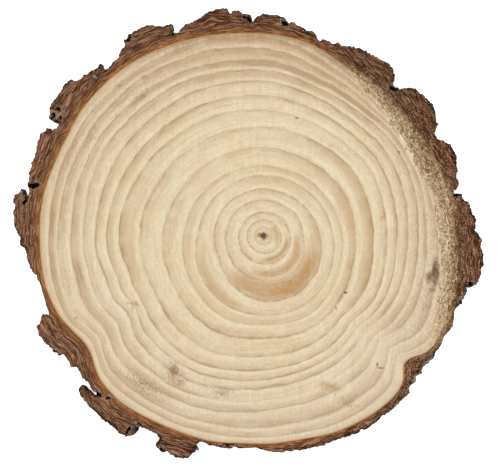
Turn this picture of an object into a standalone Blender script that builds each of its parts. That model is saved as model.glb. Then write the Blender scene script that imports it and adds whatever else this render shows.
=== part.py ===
"""Slice sawn across the trunk of a pine: a disc of wood with growth rings, inside one ring of bark.

Frame: metres, +Z up along the trunk. The origin is on the surface that the slice lies on, under the
middle of its outline, and +X runs along the outline's longer side. The outlines below are read in
millimetres from the pith, the dark point that the growth rings start from.
"""
import bmesh
import bpy
import numpy as np

MM = 0.001

# Driving dimensions, in millimetres
THICKNESS = 22.0        # between the two saw cuts, along the trunk
CLEARANCE = 0.3         # between the wood and the bark that grips it
WOOD_STEP = 2.8         # spacing of the points round the wood
BARK_STEP = 2.3         # spacing of the points round the bark
WOOD_EASE = 1.0         # how fully the wood's outline rounds its points
BARK_EASE = 0.6         # the bark's broken edges stay crisper
CUT_HEIGHTS = (0.0, 3.0, 7.0, 11.0, 15.0, 19.0, THICKNESS)

# How the bark's ribs change below the top cut, in millimetres
RIB_NARROWING = 2.6     # most that a rib draws in at the lower cut
RIB_SWAY = 1.6          # most that a rib leans sideways at the lower cut
SOUND_BARK = 1.2        # bark nearest the wood, which keeps its place
FULL_RIB = 5.0          # bark beyond that, over which the change grows to its full size
WAVES = 7               # cosines in the sum that shapes the ribs
FEWEST_RIBS = 6         # crests round the trunk of the slowest cosine
MOST_RIBS = 34          # and just more than those of the quickest
MOST_DRIFT = 4.0        # radians that a cosine's phase may shift from one cut to the other

# Distance from the pith to the edge of the wood, by angle in degrees from +X towards +Y
WOOD_RADII = (
    (0, 93.5), (10, 92.0), (20, 87.5), (28, 86.5), (35, 87.0), (45, 90.0), (55, 92.0), (65, 94.5),
    (75, 98.5), (85, 100.7), (95, 102.0), (105, 104.0), (115, 106.2), (125, 108.5), (135, 110.0),
    (145, 110.7), (152, 110.2), (160, 110.7), (170, 112.0), (180, 112.0), (190, 112.0), (196, 111.3),
    (202, 109.4), (207, 106.2), (211, 104.3), (214, 104.5), (218, 107.0), (222, 109.0), (230, 109.5),
    (240, 107.5), (248, 106.5), (256, 105.9), (264, 104.3), (272, 103.9), (280, 103.5), (290, 104.5),
    (300, 104.5), (307, 103.9), (311, 102.7), (314, 100.6), (316, 97.4), (317.5, 95.4), (319, 95.1),
    (320.5, 95.8), (322.5, 98.0), (325, 100.3), (329, 101.2), (335, 100.5), (341, 98.1), (348, 96.2),
    (354, 94.5),
)

# The bark's broken outer edge, plate by plate, anticlockwise from the right, x and y from the pith
BARK_PLATES = {
    "right_plate": (
        (109.2, -5.0), (109.1, -1.0), (108.0, 0.3), (107.3, 2.1), (106.3, 2.3), (106.2, 5.0),
        (106.6, 8.2), (105.6, 10.4), (104.4, 10.6), (103.9, 13.5), (102.6, 16.7), (100.8, 17.6),
        (100.1, 19.3), (98.6, 21.3),
    ),
    "upper_right_plate": (
        (95.7, 21.2), (95.5, 23.2), (96.8, 23.5), (97.8, 26.2), (96.9, 29.8), (97.4, 33.0),
        (96.9, 36.5), (96.8, 40.0), (95.3, 43.2), (94.1, 46.0), (92.0, 46.0), (89.8, 48.0),
        (87.0, 48.8),
    ),
    "shoulder_plate": (
        (85.7, 50.9), (86.5, 54.0), (87.6, 56.1), (86.2, 57.7), (86.2, 62.7), (85.2, 65.0),
        (82.0, 68.4), (79.5, 70.6), (75.7, 74.0), (74.1, 74.6), (70.5, 74.0),
    ),
    "upper_lobe": (
        (67.8, 73.5), (67.3, 74.7), (65.2, 75.1), (64.5, 76.6), (65.3, 79.2), (66.1, 81.0),
        (65.3, 83.3), (63.3, 86.2), (60.0, 88.0), (55.2, 90.3), (50.7, 93.0), (46.5, 94.2),
        (42.0, 95.4), (39.4, 95.3), (36.8, 96.7), (35.0, 96.2), (30.8, 98.5), (29.2, 98.2),
    ),
    "top_right_plate": (
        (28.3, 97.4), (26.8, 99.2), (26.2, 101.0), (24.0, 102.7), (20.5, 103.7), (17.0, 105.8),
        (14.8, 107.0), (13.2, 106.6), (10.8, 108.6), (8.2, 110.2), (3.0, 110.7), (0.8, 111.3),
        (-1.8, 110.5), (-4.2, 109.4),
    ),
    "top_plate": (
        (-5.1, 107.4), (-6.1, 107.5), (-6.3, 110.0), (-7.4, 111.0), (-9.5, 111.3), (-12.0, 112.5),
        (-15.5, 112.8), (-15.8, 111.6), (-16.9, 111.5), (-18.2, 113.4), (-20.0, 114.0),
        (-24.5, 113.4), (-28.6, 112.2), (-30.8, 110.0), (-35.0, 107.3), (-38.0, 106.6),
        (-40.8, 104.4), (-42.4, 102.1),
    ),
    "top_left_plate": (
        (-44.4, 101.4), (-44.8, 100.0), (-46.0, 101.2), (-46.2, 103.8), (-44.9, 104.4),
        (-45.6, 105.8), (-50.5, 105.3), (-54.2, 105.1), (-55.3, 105.9), (-59.5, 104.9),
        (-64.5, 102.6), (-67.8, 100.7), (-68.7, 98.6), (-69.6, 97.4), (-69.0, 96.4), (-71.0, 92.9),
        (-72.4, 91.2), (-72.4, 89.7), (-75.0, 87.2), (-77.8, 83.8),
    ),
    "upper_left_plate": (
        (-79.6, 82.9), (-80.4, 83.6), (-80.4, 85.3), (-81.3, 86.1), (-84.5, 83.6), (-87.0, 82.3),
        (-88.3, 80.9), (-89.6, 80.6), (-92.5, 78.2), (-94.6, 77.8), (-96.4, 78.4), (-100.0, 75.5),
        (-101.1, 73.2), (-104.8, 68.4), (-105.4, 66.6), (-107.4, 63.2), (-107.2, 60.2),
        (-107.0, 58.4), (-105.0, 57.3), (-103.3, 57.4),
    ),
    "left_plate": (
        (-102.3, 55.4), (-105.3, 53.3), (-106.9, 52.4), (-108.5, 54.0), (-109.2, 53.0),
        (-111.6, 50.9), (-112.7, 48.5), (-113.7, 44.2), (-114.3, 41.0), (-116.2, 36.2),
        (-116.6, 33.3), (-117.6, 31.2), (-117.2, 29.8), (-118.0, 25.2), (-117.1, 23.6),
    ),
    "left_tooth": (
        (-117.2, 21.9), (-118.4, 20.1), (-119.5, 19.8), (-120.1, 22.6), (-121.2, 23.6),
        (-122.3, 21.5), (-124.7, 20.6), (-125.0, 17.2), (-124.5, 15.7), (-125.2, 12.5),
        (-124.9, 6.3), (-123.6, 2.2), (-122.4, 0.4), (-121.6, -2.6), (-121.0, -5.2), (-119.7, -6.0),
        (-118.5, -10.5), (-116.8, -15.2), (-114.8, -19.3),
    ),
    "left_dent": (
        (-113.5, -19.5), (-113.3, -21.4), (-111.9, -23.4), (-110.1, -29.6), (-108.9, -34.5),
        (-107.4, -39.5),
    ),
    "lower_left_plate": (
        (-109.6, -39.7), (-110.6, -39.1), (-111.3, -40.2), (-112.2, -44.3), (-113.6, -44.9),
        (-112.6, -48.0), (-112.7, -49.4), (-109.3, -53.4), (-106.4, -56.3), (-105.1, -58.0),
        (-103.4, -58.4), (-102.1, -59.8), (-100.0, -59.1), (-98.2, -62.5), (-96.3, -65.4),
        (-93.5, -66.0), (-90.8, -70.3), (-89.8, -72.0), (-87.8, -73.0), (-86.2, -75.5),
        (-85.5, -77.3), (-83.6, -79.0),
    ),
    "tongue": (
        (-84.2, -80.2), (-85.2, -80.0), (-87.4, -77.6), (-88.3, -77.4), (-90.2, -75.2),
        (-91.6, -75.3), (-92.5, -76.8), (-91.2, -79.7), (-89.2, -83.0), (-87.2, -85.1),
        (-85.2, -86.7), (-83.2, -89.6), (-80.3, -92.2), (-75.2, -95.5), (-73.2, -98.3),
        (-70.5, -99.2), (-67.7, -100.4), (-65.2, -99.4), (-66.0, -97.6), (-65.7, -95.7),
    ),
    "bottom_left_plate": (
        (-64.2, -96.2), (-61.7, -95.4), (-58.0, -96.9), (-55.6, -98.2), (-53.3, -99.8),
        (-52.2, -101.5), (-52.1, -103.6), (-53.7, -104.5), (-53.9, -106.2), (-50.5, -108.0),
        (-48.3, -108.1), (-43.8, -110.7), (-40.0, -111.5), (-37.5, -110.6), (-36.0, -109.4),
        (-34.4, -108.3), (-36.0, -107.0), (-35.3, -105.4), (-33.0, -104.1),
    ),
    "bottom_flakes": (
        (-32.1, -102.9), (-29.5, -103.3), (-27.9, -104.2), (-27.0, -105.0), (-25.8, -104.6),
        (-23.2, -105.5), (-19.0, -106.2), (-16.0, -106.2), (-14.8, -105.3), (-12.6, -106.1),
        (-8.0, -106.1), (-3.6, -105.9),
    ),
    "bottom_plate": (
        (-0.8, -107.0), (3.0, -107.7), (8.5, -108.1), (15.0, -107.4), (21.5, -106.8),
        (27.0, -105.7), (30.0, -104.9), (34.0, -102.9), (40.0, -101.1), (45.5, -99.3),
        (48.2, -98.2),
    ),
    "lower_right_plate": (
        (49.1, -96.8), (51.0, -97.3), (56.2, -94.1), (58.4, -92.6), (60.0, -90.7), (63.6, -88.8),
        (66.4, -85.6), (71.3, -81.0), (73.5, -79.2), (74.2, -75.6),
    ),
    "cleft_plate": (
        (76.0, -73.3), (76.5, -70.3), (78.6, -69.8), (80.0, -67.5), (80.4, -65.6), (82.7, -63.8),
        (83.2, -62.6), (86.2, -60.6), (86.8, -58.6), (89.3, -55.0), (91.2, -50.2), (94.4, -46.7),
        (96.0, -41.0),
    ),
    "right_lower_step": (
        (96.3, -36.8), (98.0, -35.3), (100.2, -34.0), (101.2, -30.5), (102.0, -27.9),
        (101.3, -24.9),
    ),
    "right_bulge": (
        (102.6, -25.0), (104.2, -25.8), (107.6, -22.3), (109.0, -18.3), (110.1, -14.5),
        (110.2, -11.5), (109.6, -8.0),
    ),
}


def clear_scene():
    for obj in list(bpy.data.objects):
        bpy.data.objects.remove(obj, do_unlink=True)


def material(name, colour, roughness):
    mat = bpy.data.materials.new(name)
    mat.use_nodes = True
    shader = mat.node_tree.nodes["Principled BSDF"]
    shader.inputs["Base Color"].default_value = (*colour, 1.0)
    shader.inputs["Roughness"].default_value = roughness
    shader.inputs["Metallic"].default_value = 0.0
    return mat


def closed_curve(points, step, ease):
    """Closed curve through points: a cubic per span, with tangents along its neighbours' chords."""
    points = np.asarray(points, float)
    count = len(points)
    spans = []
    for i in range(count):
        before, start = points[i - 1], points[i]
        end, after = points[(i + 1) % count], points[(i + 2) % count]
        length = np.linalg.norm(end - start)
        lead = ease * length * (end - before) / np.linalg.norm(end - before)
        trail = ease * length * (after - start) / np.linalg.norm(after - start)
        pieces = max(1, round(length / step))
        t = (np.arange(pieces) / pieces)[:, None]
        spans.append(
            (2 * t**3 - 3 * t**2 + 1) * start + (t**3 - 2 * t**2 + t) * lead
            + (3 * t**2 - 2 * t**3) * end + (t**3 - t**2) * trail
        )
    return np.concatenate(spans)


def grown_outwards(outline, distance):
    """The outline moved outwards by a distance, along the normal of its neighbours' chord."""
    chord = np.roll(outline, -1, axis=0) - np.roll(outline, 1, axis=0)
    normal = np.stack([chord[:, 1], -chord[:, 0]], axis=1)
    return outline + distance * normal / np.linalg.norm(normal, axis=1, keepdims=True)


def drifting_waves(angle, depth, seed):
    """Sum of cosines round the trunk, in -1 to 1, whose crests drift with depth below the top cut."""
    rng = np.random.default_rng(seed)
    total = np.zeros_like(angle)
    for _ in range(WAVES):
        turns = rng.integers(FEWEST_RIBS, MOST_RIBS)
        phase = rng.uniform(0.0, 2.0 * np.pi)
        drift = rng.uniform(-MOST_DRIFT, MOST_DRIFT)
        total = total + np.cos(turns * angle + phase + drift * depth)
    return np.clip(total / np.sqrt(WAVES), -1.0, 1.0)


def bark_outline_at(top_outline, wood_outline, height):
    """The bark's edge at a height: each rib draws in and leans a little below the top cut."""
    depth = 1.0 - height / THICKNESS
    angle = np.arctan2(top_outline[:, 1], top_outline[:, 0])
    radius = np.hypot(top_outline[:, 0], top_outline[:, 1])
    wood_angle = np.arctan2(wood_outline[:, 1], wood_outline[:, 0])
    wood_radius = np.hypot(wood_outline[:, 0], wood_outline[:, 1])
    edge_of_wood = np.interp(angle, *sorted_by_angle(wood_angle, wood_radius), period=2.0 * np.pi)
    share = np.clip((radius - edge_of_wood - SOUND_BARK) / FULL_RIB, 0.0, 1.0)
    inward = RIB_NARROWING * depth * (0.5 + 0.5 * drifting_waves(angle, depth, seed=3))
    sideways = RIB_SWAY * depth * drifting_waves(angle, depth, seed=8)
    radius = radius - share * inward
    angle = angle + share * sideways / radius
    return np.stack([radius * np.cos(angle), radius * np.sin(angle)], axis=1)


def sorted_by_angle(angle, value):
    order = np.argsort(angle)
    return angle[order], value[order]


def wood_disc(outline, collection, pith):
    """The outline as a flat filled curve, extruded both ways from the middle of the thickness."""
    curve = bpy.data.curves.new("wood", "CURVE")
    curve.dimensions = "2D"
    curve.fill_mode = "BOTH"
    curve.extrude = THICKNESS * MM / 2
    spline = curve.splines.new("POLY")
    spline.points.add(len(outline) - 1)
    rows = np.zeros((len(outline), 4))
    rows[:, :2] = outline * MM
    rows[:, 3] = 1.0
    spline.points.foreach_set("co", rows.ravel())
    spline.use_cyclic_u = True
    curve.materials.append(material("sawn_wood", (0.76, 0.60, 0.39), 0.72))
    wood = bpy.data.objects.new("wood", curve)
    wood.location = (0.0, 0.0, THICKNESS * MM / 2)
    wood.parent = pith
    collection.objects.link(wood)
    return wood


def vertex_row(bm, outline, height):
    return [bm.verts.new((x * MM, y * MM, height * MM)) for x, y in outline]


def wall_between(bm, lower, upper):
    for i in range(len(lower)):
        bm.faces.new((lower[i - 1], lower[i], upper[i], upper[i - 1]))


def loop_edges(bm, row):
    return [bm.edges.get((row[i - 1], row[i])) for i in range(len(row))]


def bark_ring(top_outline, wood_outline, collection, pith):
    """A loft of outlines for the broken outer side, a straight inner wall, and a flat cap at each cut."""
    inner_outline = grown_outwards(wood_outline, CLEARANCE)
    bm = bmesh.new()
    outer = [vertex_row(bm, bark_outline_at(top_outline, wood_outline, z), z) for z in CUT_HEIGHTS]
    inner = [vertex_row(bm, inner_outline, z) for z in (CUT_HEIGHTS[0], CUT_HEIGHTS[-1])]
    for rows in (outer, inner):
        for lower, upper in zip(rows, rows[1:]):
            wall_between(bm, lower, upper)
    for outer_row, inner_row in ((outer[0], inner[0]), (outer[-1], inner[-1])):
        edges = loop_edges(bm, outer_row) + loop_edges(bm, inner_row)
        bmesh.ops.triangle_fill(bm, use_beauty=True, edges=edges, normal=(0.0, 0.0, 1.0))
    bmesh.ops.recalc_face_normals(bm, faces=bm.faces)

    mesh = bpy.data.meshes.new("bark")
    bm.to_mesh(mesh)
    bm.free()
    mesh.materials.append(material("bark", (0.15, 0.07, 0.036), 0.9))
    mesh.shade_smooth()
    mesh.set_sharp_from_angle(angle=np.radians(40.0))
    bark = bpy.data.objects.new("bark", mesh)
    bark.parent = pith
    collection.objects.link(bark)
    return bark


def build():
    clear_scene()
    collection = bpy.data.collections.new("wood_slice")
    bpy.context.scene.collection.children.link(collection)

    turns = np.radians([angle for angle, _ in WOOD_RADII])
    radii = np.array([radius for _, radius in WOOD_RADII])
    wood_points = np.stack([radii * np.cos(turns), radii * np.sin(turns)], axis=1)
    wood_outline = closed_curve(wood_points, WOOD_STEP, WOOD_EASE)
    bark_points = [point for plate in BARK_PLATES.values() for point in plate]
    top_outline = closed_curve(bark_points, BARK_STEP, BARK_EASE)

    middle = (top_outline.min(axis=0) + top_outline.max(axis=0)) / 2
    pith = bpy.data.objects.new("pith_axis", None)
    pith.location = (-middle[0] * MM, -middle[1] * MM, 0.0)
    collection.objects.link(pith)

    wood_disc(wood_outline, collection, pith)
    bark_ring(top_outline, wood_outline, collection, pith)


build()
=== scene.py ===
# %% [markdown]
# # A sawn slice of pine
# The object is a disc cut across a pine trunk with a saw. The wood in the middle shows one growth ring
# a year round a dark pith, and a broken ring of bark grips it. The CAD part holds two solids, the wood
# and the bark. This script loads them as a fixed frame and dresses both in the same millimetres.

# %% Load the frame
import bpy
import numpy as np
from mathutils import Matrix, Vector, geometry


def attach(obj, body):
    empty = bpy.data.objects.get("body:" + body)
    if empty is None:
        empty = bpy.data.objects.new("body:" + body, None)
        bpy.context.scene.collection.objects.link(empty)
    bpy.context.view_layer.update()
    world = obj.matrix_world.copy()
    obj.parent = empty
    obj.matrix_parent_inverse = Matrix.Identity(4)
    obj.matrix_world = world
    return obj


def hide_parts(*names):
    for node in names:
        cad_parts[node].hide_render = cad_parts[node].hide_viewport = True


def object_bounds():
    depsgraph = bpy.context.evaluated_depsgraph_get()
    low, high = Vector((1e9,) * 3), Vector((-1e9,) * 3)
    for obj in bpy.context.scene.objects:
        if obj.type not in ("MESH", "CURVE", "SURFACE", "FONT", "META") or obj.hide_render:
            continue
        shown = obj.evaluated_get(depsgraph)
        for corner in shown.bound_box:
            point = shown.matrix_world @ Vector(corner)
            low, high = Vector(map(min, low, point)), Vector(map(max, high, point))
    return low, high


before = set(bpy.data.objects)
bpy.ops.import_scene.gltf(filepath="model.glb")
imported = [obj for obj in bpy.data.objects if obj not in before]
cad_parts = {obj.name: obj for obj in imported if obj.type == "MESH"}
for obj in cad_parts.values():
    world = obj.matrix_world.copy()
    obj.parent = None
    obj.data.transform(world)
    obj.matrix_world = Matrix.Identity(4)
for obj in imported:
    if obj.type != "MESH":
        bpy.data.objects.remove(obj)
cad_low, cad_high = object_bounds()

MM = 0.001
THICKNESS = 22.0        # between the two saw cuts, in millimetres
print("nodes:", list(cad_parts))
print("CAD box, mm:", [round((high - low) / MM, 1) for low, high in zip(cad_low, cad_high)])

# %% [markdown]
# ## The outlines
# A slice like this is drawn from above. The wood's edge is smooth, so a table of distances from the pith
# by angle gives it. The bark is broken into plates with gaps and a tongue that hooks back on itself, so
# it is a list of corner points, plate by plate. Both tables are the CAD part's own, in millimetres from
# the pith, so the dressed pieces lie exactly where the solids are.

# %% Outline tables
WOOD_RADII = (
    (0, 93.5), (10, 92.0), (20, 87.5), (28, 86.5), (35, 87.0), (45, 90.0), (55, 92.0), (65, 94.5),
    (75, 98.5), (85, 100.7), (95, 102.0), (105, 104.0), (115, 106.2), (125, 108.5), (135, 110.0),
    (145, 110.7), (152, 110.2), (160, 110.7), (170, 112.0), (180, 112.0), (190, 112.0), (196, 111.3),
    (202, 109.4), (207, 106.2), (211, 104.3), (214, 104.5), (218, 107.0), (222, 109.0), (230, 109.5),
    (240, 107.5), (248, 106.5), (256, 105.9), (264, 104.3), (272, 103.9), (280, 103.5), (290, 104.5),
    (300, 104.5), (307, 103.9), (311, 102.7), (314, 100.6), (316, 97.4), (317.5, 95.4), (319, 95.1),
    (320.5, 95.8), (322.5, 98.0), (325, 100.3), (329, 101.2), (335, 100.5), (341, 98.1), (348, 96.2),
    (354, 94.5),
)
BARK_PLATES = {
    "right_plate": (
        (109.2, -5.0), (109.1, -1.0), (108.0, 0.3), (107.3, 2.1), (106.3, 2.3), (106.2, 5.0),
        (106.6, 8.2), (105.6, 10.4), (104.4, 10.6), (103.9, 13.5), (102.6, 16.7), (100.8, 17.6),
        (100.1, 19.3), (98.6, 21.3),
    ),
    "upper_right_plate": (
        (95.7, 21.2), (95.5, 23.2), (96.8, 23.5), (97.8, 26.2), (96.9, 29.8), (97.4, 33.0),
        (96.9, 36.5), (96.8, 40.0), (95.3, 43.2), (94.1, 46.0), (92.0, 46.0), (89.8, 48.0),
        (87.0, 48.8),
    ),
    "shoulder_plate": (
        (85.7, 50.9), (86.5, 54.0), (87.6, 56.1), (86.2, 57.7), (86.2, 62.7), (85.2, 65.0),
        (82.0, 68.4), (79.5, 70.6), (75.7, 74.0), (74.1, 74.6), (70.5, 74.0),
    ),
    "upper_lobe": (
        (67.8, 73.5), (67.3, 74.7), (65.2, 75.1), (64.5, 76.6), (65.3, 79.2), (66.1, 81.0),
        (65.3, 83.3), (63.3, 86.2), (60.0, 88.0), (55.2, 90.3), (50.7, 93.0), (46.5, 94.2),
        (42.0, 95.4), (39.4, 95.3), (36.8, 96.7), (35.0, 96.2), (30.8, 98.5), (29.2, 98.2),
    ),
    "top_right_plate": (
        (28.3, 97.4), (26.8, 99.2), (26.2, 101.0), (24.0, 102.7), (20.5, 103.7), (17.0, 105.8),
        (14.8, 107.0), (13.2, 106.6), (10.8, 108.6), (8.2, 110.2), (3.0, 110.7), (0.8, 111.3),
        (-1.8, 110.5), (-4.2, 109.4),
    ),
    "top_plate": (
        (-5.1, 107.4), (-6.1, 107.5), (-6.3, 110.0), (-7.4, 111.0), (-9.5, 111.3), (-12.0, 112.5),
        (-15.5, 112.8), (-15.8, 111.6), (-16.9, 111.5), (-18.2, 113.4), (-20.0, 114.0),
        (-24.5, 113.4), (-28.6, 112.2), (-30.8, 110.0), (-35.0, 107.3), (-38.0, 106.6),
        (-40.8, 104.4), (-42.4, 102.1),
    ),
    "top_left_plate": (
        (-44.4, 101.4), (-44.8, 100.0), (-46.0, 101.2), (-46.2, 103.8), (-44.9, 104.4),
        (-45.6, 105.8), (-50.5, 105.3), (-54.2, 105.1), (-55.3, 105.9), (-59.5, 104.9),
        (-64.5, 102.6), (-67.8, 100.7), (-68.7, 98.6), (-69.6, 97.4), (-69.0, 96.4), (-71.0, 92.9),
        (-72.4, 91.2), (-72.4, 89.7), (-75.0, 87.2), (-77.8, 83.8),
    ),
    "upper_left_plate": (
        (-79.6, 82.9), (-80.4, 83.6), (-80.4, 85.3), (-81.3, 86.1), (-84.5, 83.6), (-87.0, 82.3),
        (-88.3, 80.9), (-89.6, 80.6), (-92.5, 78.2), (-94.6, 77.8), (-96.4, 78.4), (-100.0, 75.5),
        (-101.1, 73.2), (-104.8, 68.4), (-105.4, 66.6), (-107.4, 63.2), (-107.2, 60.2),
        (-107.0, 58.4), (-105.0, 57.3), (-103.3, 57.4),
    ),
    "left_plate": (
        (-102.3, 55.4), (-105.3, 53.3), (-106.9, 52.4), (-108.5, 54.0), (-109.2, 53.0),
        (-111.6, 50.9), (-112.7, 48.5), (-113.7, 44.2), (-114.3, 41.0), (-116.2, 36.2),
        (-116.6, 33.3), (-117.6, 31.2), (-117.2, 29.8), (-118.0, 25.2), (-117.1, 23.6),
    ),
    "left_tooth": (
        (-117.2, 21.9), (-118.4, 20.1), (-119.5, 19.8), (-120.1, 22.6), (-121.2, 23.6),
        (-122.3, 21.5), (-124.7, 20.6), (-125.0, 17.2), (-124.5, 15.7), (-125.2, 12.5),
        (-124.9, 6.3), (-123.6, 2.2), (-122.4, 0.4), (-121.6, -2.6), (-121.0, -5.2), (-119.7, -6.0),
        (-118.5, -10.5), (-116.8, -15.2), (-114.8, -19.3),
    ),
    "left_dent": (
        (-113.5, -19.5), (-113.3, -21.4), (-111.9, -23.4), (-110.1, -29.6), (-108.9, -34.5),
        (-107.4, -39.5),
    ),
    "lower_left_plate": (
        (-109.6, -39.7), (-110.6, -39.1), (-111.3, -40.2), (-112.2, -44.3), (-113.6, -44.9),
        (-112.6, -48.0), (-112.7, -49.4), (-109.3, -53.4), (-106.4, -56.3), (-105.1, -58.0),
        (-103.4, -58.4), (-102.1, -59.8), (-100.0, -59.1), (-98.2, -62.5), (-96.3, -65.4),
        (-93.5, -66.0), (-90.8, -70.3), (-89.8, -72.0), (-87.8, -73.0), (-86.2, -75.5),
        (-85.5, -77.3), (-83.6, -79.0),
    ),
    "tongue": (
        (-84.2, -80.2), (-85.2, -80.0), (-87.4, -77.6), (-88.3, -77.4), (-90.2, -75.2),
        (-91.6, -75.3), (-92.5, -76.8), (-91.2, -79.7), (-89.2, -83.0), (-87.2, -85.1),
        (-85.2, -86.7), (-83.2, -89.6), (-80.3, -92.2), (-75.2, -95.5), (-73.2, -98.3),
        (-70.5, -99.2), (-67.7, -100.4), (-65.2, -99.4), (-66.0, -97.6), (-65.7, -95.7),
    ),
    "bottom_left_plate": (
        (-64.2, -96.2), (-61.7, -95.4), (-58.0, -96.9), (-55.6, -98.2), (-53.3, -99.8),
        (-52.2, -101.5), (-52.1, -103.6), (-53.7, -104.5), (-53.9, -106.2), (-50.5, -108.0),
        (-48.3, -108.1), (-43.8, -110.7), (-40.0, -111.5), (-37.5, -110.6), (-36.0, -109.4),
        (-34.4, -108.3), (-36.0, -107.0), (-35.3, -105.4), (-33.0, -104.1),
    ),
    "bottom_flakes": (
        (-32.1, -102.9), (-29.5, -103.3), (-27.9, -104.2), (-27.0, -105.0), (-25.8, -104.6),
        (-23.2, -105.5), (-19.0, -106.2), (-16.0, -106.2), (-14.8, -105.3), (-12.6, -106.1),
        (-8.0, -106.1), (-3.6, -105.9),
    ),
    "bottom_plate": (
        (-0.8, -107.0), (3.0, -107.7), (8.5, -108.1), (15.0, -107.4), (21.5, -106.8),
        (27.0, -105.7), (30.0, -104.9), (34.0, -102.9), (40.0, -101.1), (45.5, -99.3),
        (48.2, -98.2),
    ),
    "lower_right_plate": (
        (49.1, -96.8), (51.0, -97.3), (56.2, -94.1), (58.4, -92.6), (60.0, -90.7), (63.6, -88.8),
        (66.4, -85.6), (71.3, -81.0), (73.5, -79.2), (74.2, -75.6),
    ),
    "cleft_plate": (
        (76.0, -73.3), (76.5, -70.3), (78.6, -69.8), (80.0, -67.5), (80.4, -65.6), (82.7, -63.8),
        (83.2, -62.6), (86.2, -60.6), (86.8, -58.6), (89.3, -55.0), (91.2, -50.2), (94.4, -46.7),
        (96.0, -41.0),
    ),
    "right_lower_step": (
        (96.3, -36.8), (98.0, -35.3), (100.2, -34.0), (101.2, -30.5), (102.0, -27.9),
        (101.3, -24.9),
    ),
    "right_bulge": (
        (102.6, -25.0), (104.2, -25.8), (107.6, -22.3), (109.0, -18.3), (110.1, -14.5),
        (110.2, -11.5), (109.6, -8.0),
    ),
}
print("plates of bark:", len(BARK_PLATES), "| directions round the wood:", len(WOOD_RADII))

# %% [markdown]
# A curve through points can be a spline object or a formula. Here it is a cubic for each span,
# because the same formula then gives coarse points for the CAD solid and fine ones for the dressed piece.

# %% Curves through the points
WOOD_EASE = 1.0         # how fully the wood's outline rounds its points
BARK_EASE = 0.6         # the bark's broken edges stay crisper
CAD_BARK_STEP = 2.3     # spacing of the points on the solid
FINE_WOOD_STEP = 0.5
FINE_BARK_STEP = 0.62


def cubic(t, start, lead, end, trail):
    """Cubic from start to end as t goes from 0 to 1, leaving along lead and arriving along trail."""
    return (
        (2 * t**3 - 3 * t**2 + 1) * start + (t**3 - 2 * t**2 + t) * lead
        + (3 * t**2 - 2 * t**3) * end + (t**3 - t**2) * trail
    )


def closed_curve(points, step, ease):
    """Closed curve through points: a cubic per span, with tangents along its neighbours' chords."""
    points = np.asarray(points, float)
    count = len(points)
    spans = []
    for i in range(count):
        before, start = points[i - 1], points[i]
        end, after = points[(i + 1) % count], points[(i + 2) % count]
        length = np.linalg.norm(end - start)
        lead = ease * length * (end - before) / np.linalg.norm(end - before)
        trail = ease * length * (after - start) / np.linalg.norm(after - start)
        pieces = max(1, round(length / step))
        spans.append(cubic((np.arange(pieces) / pieces)[:, None], start, lead, end, trail))
    return np.concatenate(spans)


def polar(points):
    """Angle from +X and distance from the pith, for points in the last axis."""
    return np.arctan2(points[..., 1], points[..., 0]), np.hypot(points[..., 0], points[..., 1])


def at_angle(angle, radius):
    """Points at angles and distances from the pith."""
    return np.stack([radius * np.cos(angle), radius * np.sin(angle)], axis=-1)


wood_degrees, wood_reach = np.transpose(WOOD_RADII)
wood_outline = closed_curve(at_angle(np.radians(wood_degrees), wood_reach), FINE_WOOD_STEP, WOOD_EASE)
bark_points = [point for plate in BARK_PLATES.values() for point in plate]
cad_bark_outline = closed_curve(bark_points, CAD_BARK_STEP, BARK_EASE)
bark_outline = closed_curve(bark_points, FINE_BARK_STEP, BARK_EASE)
pith = -(cad_bark_outline.min(axis=0) + cad_bark_outline.max(axis=0)) / 2

edge_angle, edge_radius = polar(wood_outline)
edge_order = np.argsort(edge_angle)


def wood_edge(angle):
    """Distance from the pith to the edge of the wood at an angle, read off the outline."""
    return np.interp(angle, edge_angle[edge_order], edge_radius[edge_order], period=2 * np.pi)


print("pith at, mm:", pith.round(2), "| points round the bark:", len(bark_outline))

# %% [markdown]
# ## Roughness without straight lines
# Nothing on a tree is straight, so every surface needs some irregularity that never repeats. Blender has
# noise functions, but they take one point at a time. This one takes whole arrays: random slopes sit on
# the corners of a lattice, and each point blends the eight slopes round it.

# %% Noise on whole arrays
def gradient_noise(points, seed):
    """Smooth noise of about -1 to 1 with one bump per unit: eight corner slopes, blended by a quintic."""
    rng = np.random.default_rng(seed)
    order = rng.permutation(256)
    slopes = rng.normal(size=(256, 3))
    slopes /= np.linalg.norm(slopes, axis=1, keepdims=True)
    cell = np.floor(points).astype(int)
    inside = points - cell
    ease = inside**3 * (inside * (inside * 6 - 15) + 10)
    total = np.zeros(points.shape[:-1])
    for corner in np.ndindex(2, 2, 2):
        at = (cell + corner) & 255
        pick = order[(order[(order[at[..., 0]] + at[..., 1]) & 255] + at[..., 2]) & 255]
        weight = np.prod(np.where(corner, ease, 1 - ease), axis=-1)
        total += weight * np.sum(slopes[pick] * (inside - corner), axis=-1)
    return total * 1.6


def layered_noise(points, seed, layers=3):
    """Noise at doubling frequencies and halving heights, added up."""
    return sum(gradient_noise(points * 2**k + 7.3 * k, seed + k) / 2**k for k in range(layers))


def smoothstep(low, high, value):
    """0 below low, 1 above high and an S between them. Low may be the larger, to turn it round."""
    t = np.clip((value - low) / (high - low), 0, 1)
    return t * t * (3 - 2 * t)


def turned_from(angle, centre):
    """Signed angle from a direction in degrees, in degrees, wrapped to -180 to 180."""
    return (np.degrees(angle) - centre + 180) % 360 - 180


def arc_window(angle, start, end, soft=8.0):
    """1 between two directions in degrees, anticlockwise, easing to 0 over a soft edge."""
    half = ((end - start) % 360) / 2
    return smoothstep(half + soft, half - soft, np.abs(turned_from(angle, start + half)))


def column_of(angle, radius, height):
    """Places on a cylinder round the pith, where a pattern has no seam."""
    angle, radius, height = np.broadcast_arrays(angle, radius, height)
    return np.stack([radius * np.cos(angle), radius * np.sin(angle), height], axis=-1)


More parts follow.
